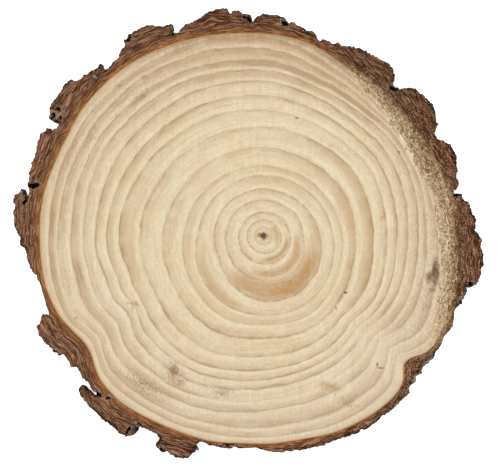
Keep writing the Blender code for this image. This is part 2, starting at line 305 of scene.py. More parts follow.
print("noise at three places:", gradient_noise(np.array([[0.5, 0, 0], [3.2, 1, 0], [9.9, 4, 2]]), 1).round(2))

# %% [markdown]
# ## From arrays to meshes
# A mesh can be built face by face, but hundreds of thousands of faces are far quicker as one block. This
# helper lays the arrays straight into Blender's mesh, moves the pith to its place in the frame and
# stores named values on the points, which the materials read.

# %% Mesh and attribute helpers
def placed(points):
    """Millimetres from the pith, as metres in the frame, kept inside the box of the CAD part."""
    moved = (points + [pith[0], pith[1], 0.0]) * MM
    return np.clip(moved, np.array(cad_low), np.array(cad_high))


def mesh_piece(name, points, quads=None, triangles=None, sharp=35.0, values=None):
    """One object from arrays: points in millimetres from the pith, and index rows for the faces."""
    mesh = bpy.data.meshes.new(name)
    blocks = [block for block in (quads, triangles) if block is not None and len(block)]
    corners = np.concatenate([block.ravel() for block in blocks]).astype(np.int32)
    sizes = np.concatenate([np.full(len(block), block.shape[1]) for block in blocks])
    mesh.vertices.add(len(points))
    mesh.vertices.foreach_set("co", placed(points).ravel())
    mesh.loops.add(len(corners))
    mesh.loops.foreach_set("vertex_index", corners)
    mesh.polygons.add(len(sizes))
    mesh.polygons.foreach_set("loop_start", (np.cumsum(sizes) - sizes).astype(np.int32))
    mesh.update(calc_edges=True)
    mesh.validate()
    for key, value in (values or {}).items():
        mesh.attributes.new(key, "FLOAT", "POINT").data.foreach_set("value", value.astype(np.float32))
    mesh.shade_smooth()
    mesh.set_sharp_from_angle(angle=np.radians(sharp))
    piece = bpy.data.objects.new(name, mesh)
    bpy.context.scene.collection.objects.link(piece)
    print(name, "triangles:", int((sizes - 2).sum()))
    return piece


def ring_quads(rows, columns, start=0):
    """Faces of a grid whose columns close on themselves. Rows run outwards, columns anticlockwise."""
    grid = start + np.arange(rows * columns).reshape(rows, columns)
    ahead = np.roll(grid, -1, axis=1)
    return np.stack([grid[:-1], grid[1:], ahead[1:], ahead[:-1]], axis=-1).reshape(-1, 4)


# %% [markdown]
# ## The growth rings
# Each ring is one year. It starts pale in spring and ends in a thin darker line of summer wood. The lines
# could be circles in a material, but real ones are lopsided: they follow every dent that the trunk ever
# had. So the disc is laid out in ring coordinates. A table gives the distance of sixteen lines along
# twelve rays, and a cubic through the rays gives the lines their shape. Three extra terms pull the outer
# rings in: at the cleft in the lower right, at the dent in the left side and at the shoulder above it.

# %% Ring table
RAYS = 12
RING_RADII = (     # millimetres from the pith, anticlockwise from the right, one row a ring
    (4.5, 4.5, 4.5, 4.5, 4.5, 4.5, 4.5, 4.5, 4.5, 4.5, 4.5, 4.5),
    (9.0, 8.5, 8.3, 8.3, 8.3, 8.3, 8.3, 8.5, 8.5, 8.8, 9.3, 9.5),
    (13.4, 12.8, 12.3, 11.8, 11.8, 12.0, 12.5, 13.0, 13.5, 14.3, 14.5, 14.3),
    (20.2, 19.5, 18.5, 18.3, 18.3, 18.8, 19.3, 20.0, 21.3, 22.5, 23.8, 23.0),
    (28.3, 25.8, 24.0, 23.8, 23.8, 24.5, 25.1, 25.2, 29.5, 33.0, 33.5, 32.0),
    (34.7, 32.8, 30.8, 30.5, 30.8, 31.8, 33.5, 37.0, 39.5, 39.8, 40.3, 38.5),
    (39.3, 37.0, 35.5, 35.5, 36.3, 37.8, 40.3, 42.5, 45.0, 44.5, 45.3, 42.3),
    (46.3, 45.5, 43.8, 44.5, 45.5, 47.5, 50.5, 51.8, 53.8, 51.5, 51.8, 48.5),
    (55.3, 55.5, 54.0, 54.7, 56.5, 59.0, 62.0, 62.3, 64.0, 60.5, 59.5, 57.7),
    (61.7, 63.0, 61.5, 63.3, 65.5, 69.3, 72.3, 70.8, 71.3, 67.2, 65.2, 64.2),
    (67.0, 68.5, 67.8, 70.4, 73.0, 76.0, 78.5, 77.0, 76.3, 71.8, 69.3, 68.7),
    (72.2, 74.3, 73.5, 77.6, 80.3, 83.0, 84.2, 82.5, 81.5, 76.3, 73.8, 73.2),
    (77.7, 79.8, 78.4, 83.0, 87.0, 90.3, 90.5, 89.3, 87.8, 82.5, 79.3, 79.0),
    (81.5, 83.0, 82.0, 87.7, 91.8, 95.5, 96.5, 95.8, 93.5, 87.5, 85.0, 84.3),
    (87.0, 84.7, 85.5, 93.7, 98.5, 101.5, 103.0, 102.5, 99.8, 95.5, 94.3, 92.0),
    (90.5, 85.7, 89.0, 99.4, 103.5, 106.5, 107.4, 106.9, 104.0, 100.5, 100.2, 97.8),
)
RINGS = len(RING_RADII) + 1     # the last ring ends at the bark
FIRST_PULLED = 9                # the pulls are in millimetres, one for each ring from this one
DENT_WIDTH = 6.5                # of the dent and of the shoulder, in degrees
CLEFT_PULL = (2.7, 3.2, 3.5, 3.7, 4.5, 6.7, 8.7, 9.7)
DENT_PULL = (0.4, 1.5, 3.5, 4.2, 4.2, 3.8, 5.5, 5.8)
SHOULDER_PULL = (0.2, 2.0, 1.7, 1.6, 1.0, 0.6, 0.0, 0.0)


def through_rays(values, angle):
    """Cubic through values at evenly spaced rays, closed round the circle."""
    place = (angle % (2 * np.pi)) / (2 * np.pi) * RAYS
    ray = np.floor(place).astype(int)
    t = place - ray
    before, start, end, after = (values[(ray + k) % RAYS] for k in (-1, 0, 1, 2))
    return cubic(t, start, (end - before) / 2, end, (after - start) / 2)


def ring_lines(angle):
    """Distance of every ring's line at each angle, from the pith at row 0 to the bark at the last row."""
    lines = [np.zeros_like(angle)]
    for number, radii in enumerate(RING_RADII, start=1):
        line = through_rays(np.array(radii), angle)
        if number >= FIRST_PULLED:
            k = number - FIRST_PULLED
            grown = k / (len(CLEFT_PULL) - 1)
            cleft = np.abs(turned_from(angle, 315 + 3.5 * min(1, grown * 1.5))) / (11 - 4.8 * grown)
            dent = turned_from(angle, 208 + 3.5 * grown) / DENT_WIDTH
            shoulder = turned_from(angle, 195) / DENT_WIDTH
            line = line - CLEFT_PULL[k] * np.exp(-cleft**1.5) - DENT_PULL[k] * np.exp(-dent**2)
            line = line - SHOULDER_PULL[k] * np.exp(-shoulder**2)
        lines.append(line)
    lines.append(wood_edge(angle))
    return np.array(lines)


def ring_radius(ring, lines):
    """Distance from the pith at ring coordinates, straight between one line and the next."""
    below = np.minimum(np.floor(ring).astype(int), RINGS - 1)
    share = (ring - below)[:, None]
    return lines[below] * (1 - share) + lines[below + 1] * share


print("rings:", RINGS, "| mean width, mm:", round(float(wood_edge(0.0)) / RINGS, 1))

# %% [markdown]
# The disc is one closed skin, as it is one piece of wood. Its rows follow the ring lines from the pith out
# over the top, down the rim and back over the underside to the pith. Columns stand closer together on
# the right, where the edge is torn. The relief is real: the summer wood stands a little proud, the pith
# is a small hole, and the torn edge is lowered and lumpy.

# %% Wood relief
COLUMNS = 560
TORN_ARC = (-30, 60)            # directions between which the saw tore the edge
CLEFT_ARC = (305, 330)
ROWS_A_RING = 6
ROWS_A_TORN_RING = 12
FIRST_TORN_RING = 14
UNDER_ROWS_A_RING = 2
PITH_ROWS = (0.12, 0.22, 0.33, 0.5)     # closer rows round the pith's hole, in rings
UNDER_SHIFT = 40.0              # the underside reads the noises this far off, so it isn't a copy
RIM_BEVEL = 0.12
RING_RELIEF, PITH_HOLE = 0.05, 0.9      # depth of the spring wood and of the pith, in millimetres

turn = np.linspace(-np.pi, np.pi, 3601)
crowd = 1 + 1.1 * arc_window(turn, *TORN_ARC) + 0.8 * arc_window(turn, *CLEFT_ARC)
travelled = np.concatenate([[0], np.cumsum((crowd[1:] + crowd[:-1]) / 2)])
column_angle = np.interp(np.arange(COLUMNS) / COLUMNS, travelled / travelled[-1], turn)
lines = ring_lines(column_angle)

top_rings = np.concatenate([
    np.arange(1, FIRST_TORN_RING * ROWS_A_RING + 1) / ROWS_A_RING,
    FIRST_TORN_RING + np.arange(1, (RINGS - FIRST_TORN_RING) * ROWS_A_TORN_RING + 1) / ROWS_A_TORN_RING,
])
top_rings = np.concatenate([PITH_ROWS, top_rings[top_rings > PITH_ROWS[-1]]])
under_rings = np.arange(RINGS * UNDER_ROWS_A_RING, 0, -1) / UNDER_ROWS_A_RING
rim_heights = np.array([21.3, 16.0, 11.0, 6.0, 0.7])


def wandering(ring, spot):
    """Small drift of the ring lines, in rings: a slow wave and a quick one, none at the pith."""
    drift = 0.06 * gradient_noise(spot / 22, 11) + 0.035 * gradient_noise(spot / 6.5, 12)
    drift = drift * (1 + 0.8 * smoothstep(9, 14, ring))
    return ring + drift * smoothstep(0.3, 3, ring) * smoothstep(RINGS, RINGS - 0.5, ring)


def summer_wood(ring):
    """How far a ring coordinate is into its year's dark line, 0 to 1."""
    year = ring % 1.0
    return smoothstep(0.45, 0.95, year) * smoothstep(1.0, 0.985, year)


def torn_share(angle, past_edge, spot):
    """Where the saw tore the wood: near the right edge, with a ragged inner limit."""
    ragged = 2.6 * gradient_noise(spot / 6, 21) + 1.2 * gradient_noise(spot / 1.8, 22)
    width = 3.6 + 5.4 * arc_window(angle, -32, 10, soft=12) + 2.4 * arc_window(angle, 42, 58, soft=8)
    return arc_window(angle, *TORN_ARC, soft=14) * smoothstep(width, width * 0.35, ragged - past_edge)


def torn_tone(angle, past_edge):
    """How far the torn face has gone from cream to brown, in millimetres past the wood's edge.

    A brown patch lies 4.5 mm inside the edge at the right, where the saw bit deepest, and cream crumbs
    lie on the bark above it.
    """
    patch = np.exp(-((past_edge + 4.5) / 3.0) ** 2) * arc_window(angle, -5, 8, soft=8)
    dusted = smoothstep(-1.0, 2.0, past_edge) * arc_window(angle, 8, 48, soft=6)
    return past_edge + 3.4 * patch - 2.2 * dusted


def torn_lumps(spot):
    """Depth of the torn surface, the same on wood and bark, so that it runs on across their seam."""
    lumps = 0.42 + 0.34 * layered_noise(spot / 2.1, 31) + 0.26 * gradient_noise(spot * [0.9, 0.3, 1], 34)
    return np.clip(lumps, 0.04, 1.2)


def worn_depth(ring, radius, torn, spot):
    """Depth of the cut face below the saw's plane: spring wood, pith hole and torn lumps."""
    depth = RING_RELIEF * (1 - summer_wood(ring)) + PITH_HOLE * smoothstep(1.5, 0.3, radius)
    return depth + torn * torn_lumps(spot)


print("rows on the top face:", len(top_rings), "| on the underside:", len(under_rings))

# %% [markdown]
# With the rows laid out and the depths as functions, the skin is one block of points: top face, rim and
# underside, one row under another. A fan of triangles closes it at each end, where the pith is. The
# underside is a second sawn face, made in the same way without the torn edge.

# %% Wood skin
def face_rows(rings, shift):
    """Rows of points on one cut face with their values: ring, torn share and spot on the plane."""
    radius = ring_radius(rings, lines)
    angle = np.broadcast_to(column_angle, radius.shape)
    spot = column_of(angle, radius, shift)
    ring = wandering(rings[:, None] + np.zeros_like(radius), spot)
    torn = torn_share(angle, radius - lines[-1], spot)
    return radius, angle, spot, ring, torn


radius, angle, spot, ring, torn = face_rows(top_rings, 0.0)
top_rows = column_of(angle, radius, THICKNESS - worn_depth(ring, radius, torn, spot))
top_rows[-1, :, 2] -= RIM_BEVEL

radius, angle, spot, under_ring, _ = face_rows(under_rings, UNDER_SHIFT)
no_tear = np.zeros_like(radius)
under_rows = column_of(angle, radius, worn_depth(under_ring, radius, no_tear, spot))
under_rows[0, :, 2] += RIM_BEVEL
rim_rows = column_of(column_angle, lines[-1], rim_heights[:, None])
rim_rows[..., 2] = np.minimum(rim_rows[..., 2], top_rows[-1, :, 2] - 0.2)

skin_rows = np.concatenate([top_rows, rim_rows, under_rows])
skin_ring = np.concatenate([ring, np.full(rim_rows.shape[:2], RINGS - 0.1), under_ring])
skin_torn = np.concatenate([torn, np.zeros(rim_rows.shape[:2]), no_tear])
wood_vertices = skin_rows.reshape(-1, 3)
pith_depth = RING_RELIEF + PITH_HOLE
poles = np.array([[0, 0, THICKNESS - pith_depth], [0, 0, pith_depth]])
first_pole = len(wood_vertices)
first, last = np.arange(COLUMNS), first_pole - COLUMNS + np.arange(COLUMNS)
pole_fans = np.concatenate([
    np.stack([np.full(COLUMNS, first_pole), first, np.roll(first, -1)], axis=1),
    np.stack([np.full(COLUMNS, first_pole + 1), np.roll(last, -1), last], axis=1),
])
print("rows down the skin:", len(skin_rows), "| columns:", COLUMNS)

# %% [markdown]
# ## What the colours follow
# Beside the ring lines, the cut shows wide amber arcs of reaction wood, which a leaning trunk grows on
# its lower side, a greyer tone in the outer years and a few stains. Each is worked out on the points as
# a named value, so that the material can blend its colour in at the right place.

# %% Lines, arcs, stains and streaks
LINE_STRENGTH = (0.5, 0.95, 0.95, 0.8, 0.9, 0.7, 0.65, 0.9, 0.95, 0.95, 1.0, 1.0, 0.95, 1.15, 1.25, 1.15, 0.8)
LINE_CHANGES = (     # line, first and last direction in degrees, how many times as strong
    (4, 268, 352, 0.15), (8, 75, 150, 0.6), (8, 235, 275, 1.8), (8, 318, 345, 2.0), (9, 70, 145, 0.5),
    (9, 180, 205, 0.5), (9, 5, 20, 1.5), (9, 335, 350, 1.5), (10, 20, 135, 0.5), (10, 180, 200, 1.6),
    (10, 205, 215, 0.6), (10, 245, 265, 1.8), (10, 322, 336, 1.3), (10, 340, 350, 0.7), (11, 78, 115, 0.55),
    (11, 278, 292, 1.5), (11, 340, 350, 0.7), (12, 78, 115, 0.6), (12, 155, 200, 1.35), (12, 268, 296, 1.8),
    (12, 322, 338, 1.3), (13, 35, 55, 1.5), (13, 155, 200, 0.7), (13, 250, 308, 0.2), (13, 322, 338, 1.6),
    (14, 35, 110, 1.9), (14, 185, 200, 1.7), (14, 215, 235, 0.7), (14, 245, 262, 1.6), (14, 322, 338, 1.8),
    (15, 185, 205, 0.45), (16, 155, 200, 1.7),
)
REACTION_WOOD = (   # first and last ring, first and last direction in degrees, strength
    (4.05, 4.85, 232, 342, 1.0), (4.3, 4.8, 285, 330, 0.35), (3.36, 3.7, 258, 356, 1.05),
    (2.4, 2.74, 270, 352, 1.1), (5.6, 5.97, 198, 255, 0.7), (1.2, 1.7, 335, 45, 0.7),
    (9.4, 10.0, 168, 205, 0.4), (7.5, 8.0, 330, 50, 0.45), (8.55, 9.0, 325, 48, 0.5),
    (4.5, 5.0, 345, 20, 0.4), (10.5, 11.0, 120, 200, 0.3), (6.4, 7.0, 150, 290, 0.28),
    (14.15, 14.95, 60, 122, 0.34), (12.4, 12.95, 62, 118, 0.25), (15.25, 15.9, 58, 135, 0.3),
    (13.4, 14.0, 20, 60, 0.3), (15.3, 16.0, 165, 240, 0.3), (13.4, 14.0, 165, 250, 0.3),
    (5.4, 6.0, 60, 110, 0.3), (6.5, 7.0, 20, 95, 0.3),
)
SMUDGES = (         # x, y, half length, half width, direction, softness, strength
    (86.2, -18.2, 8.0, 2.4, 88, 0.9, 1.2), (83.2, -20.4, 4.2, 3.0, 70, 1.0, 0.75),
    (84.6, -27.0, 2.6, 1.8, 0, 1.0, 0.6), (82.5, -35.0, 3.5, 2.4, 60, 1.1, 0.4),
)
RUST_STAINS = (     # as for the smudges
    (-44.9, -67.3, 5.0, 3.8, 84, 1.3, 1.3), (-45.0, -69.0, 9.0, 6.4, 100, 1.5, 0.95),
    (-41.6, -73.4, 5.0, 3.6, 20, 1.4, 0.95), (-60.0, -74.0, 19.0, 6.5, 152, 1.5, 0.92),
    (-20.5, -78.5, 9.0, 3.6, 176, 1.4, 0.88), (34.0, -75.5, 7.0, 2.9, 160, 1.4, 0.95),
    (42.0, -83.0, 8.5, 3.8, 160, 1.4, 0.75), (-50.5, 53.5, 9.0, 1.9, 66, 1.3, 0.66),
    (-46.5, 66.0, 6.5, 2.0, 75, 1.3, 0.5), (-56.5, 41.0, 8.5, 2.0, 62, 1.3, 0.55),
    (-62.0, 69.0, 18.0, 4.5, 44, 1.5, 0.56), (25.0, 68.0, 6.0, 3.5, 100, 1.4, 0.38),
    (37.5, 20.0, 6.0, 2.0, 130, 1.4, 0.4),
)
PALE_STREAKS = (    # x, y, half length, half width, direction, strength
    (73.0, 42.4, 9.0, 2.1, -64, 0.9), (69.6, 49.4, 2.6, 2.0, -60, 0.9), (64.0, 57.0, 7.0, 1.1, -50, 0.5),
    (87.6, 32.4, 11.0, 0.9, -68, 1.0), (91.8, 21.5, 5.0, 1.3, -75, 0.8),
    (70.5, 58.0, 4.0, 0.7, -52, 0.8), (78.5, 48.0, 2.4, 1.0, -20, 0.7), (88.5, 8.0, 9.0, 1.3, -78, 0.6),
    (92.0, -3.0, 13.0, 1.5, -92, 0.8),
)
print("arcs of reaction wood:", len(REACTION_WOOD), "| stains:", len(SMUDGES) + len(RUST_STAINS))

# %% [markdown]
# The tables say where, and these functions say how each thing fades: arcs ease in across the rings and
# along the circle, lines grow stronger and weaker, and a stain is an oval with a soft edge.

# %% Values on the wood
def reaction_share(ring, angle):
    """Sum of the arcs: each eases in across the ring and along the circle."""
    total = np.zeros_like(ring)
    for first_ring, last_ring, start, end, strength in REACTION_WOOD:
        ease = 0.5 * (last_ring - first_ring)
        band = smoothstep(first_ring - ease, first_ring + ease / 2, ring)
        band = band * smoothstep(last_ring + 0.05, last_ring - 0.06, ring)
        total += strength * band * arc_window(angle, start, end, soft=16)
    return total


def line_strength(ring, angle, spot):
    """Darkness of each year's line, which fades in and out along the ring.

    A line's own value holds until 0.2 of the next year, past its dark side, so that two values never meet
    on the line.
    """
    year = np.clip(np.ceil(ring - 0.2).astype(int) - 1, 0, RINGS - 1)
    along = 1 + 0.25 * gradient_noise(spot / 17, 41) + 0.15 * gradient_noise(spot / 6, 42)
    along = along + 0.4 * (1 - arc_window(angle, 140, 205, soft=20)) * smoothstep(9, 12, ring)
    along = along * (1 - 0.6 * arc_window(angle, 311, 323, soft=4) * smoothstep(9, 11, ring))
    for line, start, end, change in LINE_CHANGES:
        along = along * (1 + (change - 1) * (year == line - 1) * arc_window(angle, start, end, soft=8))
    return np.array(LINE_STRENGTH)[year] * along


def oval(points, x, y, half_length, half_width, turned, soft):
    """1 inside an oval, 0 outside. Its long axis is turned from +X, in degrees."""
    way = np.radians(turned)
    across = points[..., 0] - x, points[..., 1] - y
    along = (across[0] * np.cos(way) + across[1] * np.sin(way)) / half_length
    aside = (across[1] * np.cos(way) - across[0] * np.sin(way)) / half_width
    return smoothstep(1 + soft / 2, 1 - soft, np.hypot(along, aside))


def stained(points, stains):
    """Strength of the strongest stain at each point."""
    shares = [strength * oval(points, *shape) for *shape, strength in stains]
    return np.clip(np.maximum.reduce(shares), 0, 1.2)


def pale_share(points):
    """Sum of the pale streaks at each point."""
    return np.clip(sum(strength * oval(points, *shape, 0.9) for *shape, strength in PALE_STREAKS), 0, 1)


skin_angle, skin_radius = polar(skin_rows)
on_top = skin_rows[..., 2] > THICKNESS / 2
skin_spot = column_of(skin_angle, skin_radius, np.where(on_top, 0.0, UNDER_SHIFT))
broad = smoothstep(10.5, 14.5, skin_ring) * (0.32 + 0.42 * arc_window(skin_angle, 40, 215, soft=30))
outer_years = smoothstep(10, 15, skin_ring) * (
    0.2 + 0.6 * arc_window(skin_angle, 55, 165, soft=25) + 0.9 * arc_window(skin_angle, 325, 50, soft=25))
past_edge = skin_radius - wood_edge(skin_angle)
weathered = arc_window(skin_angle, 56, 124, soft=14) * smoothstep(
    -5.5, 0.2, past_edge + 1.8 * gradient_noise(skin_spot / 5, 54))
wood_values = {
    "ring": skin_ring,
    "line": line_strength(skin_ring, skin_angle, skin_spot),
    "reaction": reaction_share(skin_ring, skin_angle),
    "torn": skin_torn,
    "smudge": stained(skin_rows, SMUDGES) * on_top,
    "rust": stained(skin_rows, RUST_STAINS) * on_top,
    "outer_years": outer_years,
    "weathered": weathered,
    "greyer": smoothstep(8, 14, skin_ring) * arc_window(skin_angle, 195, 335, soft=25),
    "torn_tone": torn_tone(skin_angle, past_edge),
    "pale": pale_share(skin_rows) * on_top,
    "broad": np.clip(broad + 0.35 * gradient_noise(skin_spot / 14, 53), 0, 1),
}
at_poles = dict.fromkeys(wood_values, 0.0) | {"line": 0.7}
wood_piece = mesh_piece(
    "sawn_wood", np.concatenate([wood_vertices, poles]),
    quads=ring_quads(len(skin_rows), COLUMNS), triangles=pole_fans,
    values={key: np.append(value.ravel(), [at_poles[key]] * 2) for key, value in wood_values.items()},
)
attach(wood_piece, "root")
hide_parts("wood")

# %% [markdown]
# ## The bark
# Bark dies from the outside and cracks into plates as the trunk swells, so the cut shows broken lobes with
# dark gaps, and the side shows scales and fissures that run up the trunk. The side is the top outline
# carried down the thickness. Each change moves a point towards the pith by an amount that grows with its
# distance from the wood, or turns it round the pith. Moves of that kind can't make the surface cross
# itself, not even at the tongue that hooks back.

# %% Bark side
RIB_NARROWING, RIB_SWAY = 2.6, 1.6      # as in the CAD part, in millimetres
SOUND_BARK, FULL_RIB = 1.2, 5.0
WAVES, FEWEST_RIBS, MOST_RIBS, MOST_DRIFT = 7, 6, 34, 4.0
SIDE_LEVELS = 36
BARK_ROUND = 110.0                      # radius on which the side's pattern is laid out
SCALES, SCALE_DEPTH, FISSURE_DEPTH = 5, 1.35, 1.25
OPEN_ARCS = ((216, 227), (167.5, 171.5))    # two notches that go straight down, so daylight shows


def drifting_waves(angle, depth, seed):
    """Sum of cosines round the trunk, in -1 to 1, whose crests drift with depth below the top cut."""
    rng = np.random.default_rng(seed)
    total = np.zeros_like(angle)
    for _ in range(WAVES):
        turns = rng.integers(FEWEST_RIBS, MOST_RIBS)
        phase = rng.uniform(0.0, 2.0 * np.pi)
        drift = rng.uniform(-MOST_DRIFT, MOST_DRIFT)
        total = total + np.cos(turns * angle + phase + drift * depth)
    return np.clip(total / np.sqrt(WAVES), -1.0, 1.0)


def side_carving(angle, height):
    """Level of the scales, their steep edges and the fissures, each 0 to 1.

    Bark flakes off in scales, so the levels are the flats between contour lines of smooth noise, and the
    fissures run where another noise is near 0. Both are stretched up the trunk.
    """
    place = column_of(angle, BARK_ROUND, height)
    level = np.clip(layered_noise(place * [0.14, 0.14, 0.085], 61) * 0.5 + 0.5, 0, 0.999) * SCALES
    step = smoothstep(0.76, 0.98, level % 1.0)
    crack = np.abs(gradient_noise(place * [0.09, 0.09, 0.032], 64) + 0.2 * gradient_noise(place * 0.4, 65))
    return (np.floor(level) + step) / SCALES, 4 * step * (1 - step), smoothstep(0.15, 0.02, crack)


def carried_down(outline, height):
    """The bark's outline at heights (one per point), with the CAD part's change of shape and the wear."""
    depth = 1 - height / THICKNESS
    angle, radius = polar(outline)
    share = np.clip((radius - wood_edge(angle) - SOUND_BARK) / FULL_RIB, 0, 1)
    below_cut = smoothstep(0.0, 2.2, THICKNESS - height)
    scales, edges, fissures = side_carving(angle, height)
    place = column_of(angle, BARK_ROUND, height * 0.4)
    ragged = 0.15 + 0.5 * gradient_noise(place * 0.4, 71) + 0.75 * gradient_noise(place * 0.95, 72)
    shown_skin = 1.5 * arc_window(angle, 300, 342, soft=5) * smoothstep(18.5, THICKNESS, height)
    inward = RIB_NARROWING * depth * (0.5 + 0.5 * drifting_waves(angle, depth, seed=3))
    inward = inward + below_cut * (SCALE_DEPTH * scales + FISSURE_DEPTH * fissures)
    straight = 1 - 0.92 * sum(arc_window(angle, start, end, soft=3) for start, end in OPEN_ARCS)
    inward = inward * straight + ragged + shown_skin
    sideways = RIB_SWAY * depth * straight * drifting_waves(angle, depth, seed=8)
    along_radius = np.stack([radius * 0.55, height * 0.15, 0 * radius], axis=-1)
    shear = 0.35 * gradient_noise(along_radius, 73) + 0.22 * gradient_noise(2.1 * along_radius, 74)
    radius = radius - share * inward
    angle = angle + share * (sideways + shear) / radius
    shown = smoothstep(0.0, 1.2, THICKNESS - height)
    carving = {"scale": scales, "scale_edge": edges * shown, "fissure": fissures * shown}
    return at_angle(angle, radius), carving


level_share = np.concatenate([np.linspace(0, 0.92, SIDE_LEVELS - 4), [0.945, 0.97, 0.988, 1.0]])
side_height = np.broadcast_to(level_share[:, None] * THICKNESS, (SIDE_LEVELS, len(bark_outline)))
side_outline = np.broadcast_to(bark_outline, (SIDE_LEVELS, *bark_outline.shape))
side_xy, side_carving_values = carried_down(side_outline, side_height)
print("points on the side:", side_height.size)

# %% [markdown]
# ## The bark's cut faces
# The two cut faces are flat shapes with a hole. A grid from the inner edge to the outer one would fold
# over at the tongue, so points are scattered evenly over the face and joined by a constrained Delaunay
# triangulation, which keeps both outlines as edges. Each point is then lowered by hollows, by crumbled
# rims and by a light unevenness.

# %% Cut-face points
INNER_GAP = 0.03        # the bark hugs the wood more closely than the solids' clearance
TOP_SPACING, UNDER_SPACING = 0.56, 1.3
HOLLOWS = (             # x, y, half length, half width, direction, depth
    (-115.0, 25.2, 3.2, 1.1, 8, 7.0), (-119.0, 17.7, 2.2, 0.8, 62, 5.0),
    (-105.1, 60.2, 1.8, 0.7, 80, 4.0), (-102.5, 63.5, 1.8, 0.8, 150, 4.0),
    (-101.4, 59.3, 1.0, 0.5, 90, 3.0), (-67.5, 98.2, 1.8, 0.6, 55, 4.0),
    (-8.0, 108.4, 2.4, 0.8, 140, 6.0), (10.5, 106.3, 2.0, 0.9, 150, 5.0),
    (65.0, 73.8, 2.4, 0.9, 160, 6.0), (96.8, 20.2, 1.7, 0.6, 20, 5.0),
    (104.0, -24.2, 1.8, 0.9, 130, 6.0), (99.0, -33.2, 1.6, 0.8, 140, 4.0),
    (-82.4, -79.4, 2.1, 0.8, 160, 7.0), (-78.0, -81.0, 1.3, 0.5, 170, 4.0),
    (-67.5, -97.2, 2.3, 0.8, 55, 5.0), (-62.0, -94.6, 1.3, 0.6, 150, 4.0),
    (-51.8, -107.0, 1.9, 0.8, 160, 5.0), (-123.0, -0.7, 1.3, 0.35, 100, 6.0),
    (-17.0, -104.3, 4.0, 0.28, 0, 2.5), (101.2, -30.0, 1.4, 0.5, 80, 3.0),
)


def nearest(points, outline):
    """Distance from each point to the closest point of a finely spaced outline, in blocks."""
    found = []
    for block in np.array_split(points, max(1, len(points) // 2000)):
        gaps = block[:, None, :] - outline[None, :, :]
        found.append(np.sqrt((gaps**2).sum(axis=-1).min(axis=1)))
    return np.concatenate(found)


def inside_outline(points, outline):
    """True where a line to the right of the point crosses the outline an odd number of times."""
    odd = np.zeros(len(points), bool)
    for (x0, y0), (x1, y1) in zip(outline, np.roll(outline, -1, axis=0)):
        if y0 != y1:
            crosses = (points[:, 1] < y0) != (points[:, 1] < y1)
            odd ^= crosses & (points[:, 0] < x0 + (points[:, 1] - y0) * (x1 - x0) / (y1 - y0))
    return odd


def scattered(outline, inner, spacing, seed):
    """Points on a shaken triangular lattice between two outlines, clear of both."""
    low, high = outline.min(axis=0), outline.max(axis=0)
    across = np.arange(low[0], high[0], spacing)
    up = np.arange(low[1], high[1], spacing * 0.87)
    x, y = np.meshgrid(across, up)
    x = x + (np.arange(len(up)) % 2)[:, None] * spacing / 2
    points = np.stack([x.ravel(), y.ravel()], axis=1)
    points += np.random.default_rng(seed).uniform(-0.18, 0.18, points.shape) * spacing
    angle, radius = polar(points)
    points = points[radius > wood_edge(angle) + spacing * 0.3]
    points = points[inside_outline(points, outline)]
    clear = (nearest(points, outline) > spacing * 0.5) & (nearest(points, inner) > spacing * 0.5)
    return points[clear]


def filled_ring(outline, inner, spacing, seed):
    """Points and triangles of a flat face between two outlines: outline, then inner, then scattered."""
    extra = scattered(outline, inner, spacing, seed)
    points = np.concatenate([outline, inner, extra])
    loops = []
    for start, count in ((0, len(outline)), (len(outline), len(inner))):
        loop = start + np.arange(count)
        loops.append(np.stack([loop, np.roll(loop, -1)], axis=1))
    made = geometry.delaunay_2d_cdt(points.tolist(), np.concatenate(loops).tolist(), [], 0, 1e-6)
    corners = np.array(made[2])
    order = np.array([origin[0] for origin in made[3]])
    if len(made[0]) != len(points):
        print("triangulation changed the points:", len(points), "to", len(made[0]))
    middle = points[order[corners]].mean(axis=1)
    kept = inside_outline(middle, outline) & ~inside_outline(middle, inner)
    return points, order[corners[kept]]


inner_chord = np.roll(wood_outline, -1, axis=0) - np.roll(wood_outline, 1, axis=0)
inner_normal = np.stack([inner_chord[:, 1], -inner_chord[:, 0]], axis=1)
inner_normal /= np.linalg.norm(inner_normal, axis=1, keepdims=True)
inner_fine = wood_outline + INNER_GAP * inner_normal
inner_outline = inner_fine[::2]
top_points, top_triangles = filled_ring(side_xy[-1], inner_outline, TOP_SPACING, 81)
under_points, under_triangles = filled_ring(side_xy[0], inner_outline, UNDER_SPACING, 82)
print("cut-face points:", len(top_points), "and", len(under_points))

# %% [markdown]
# The relief could be a bump in the material, but hollows and chips this deep show in the outline, so the
# points themselves move. Every depth is a function of the distances to the wood and to the rim.

# %% Bark relief
RIM_LIMIT, SEAM_LIMIT = 3.5, 1.5        # how deep the outer and the inner edge may lie, in millimetres


def placed_on_bark(points, outline):
    """Direction of each point, and its distances from the wood and from the bark's rim."""
    return polar(points)[0], nearest(points, wood_outline), nearest(points, outline)


def hollowed(points):
    """Share, depth and crumbling lip of the hollows at each point. Noise makes their edges crooked."""
    crooked = points + 0.9 * np.stack([
        gradient_noise(np.column_stack([points / 1.5, np.full(len(points), shift)]), 75)
        for shift in (0.5, 9.5)], axis=-1)
    share, depth, lip = np.zeros((3, len(points)))
    for x, y, half_length, half_width, turned, deep in HOLLOWS:
        here = oval(crooked, x, y, half_length, half_width, turned, 0.4)
        share = np.maximum(share, here)
        depth = np.maximum(depth, here * deep)
        lip = np.maximum(lip, oval(crooked, x, y, half_length + 1.4, half_width + 1.3, turned, 0.5))
    return share, depth, lip * (1 - share)


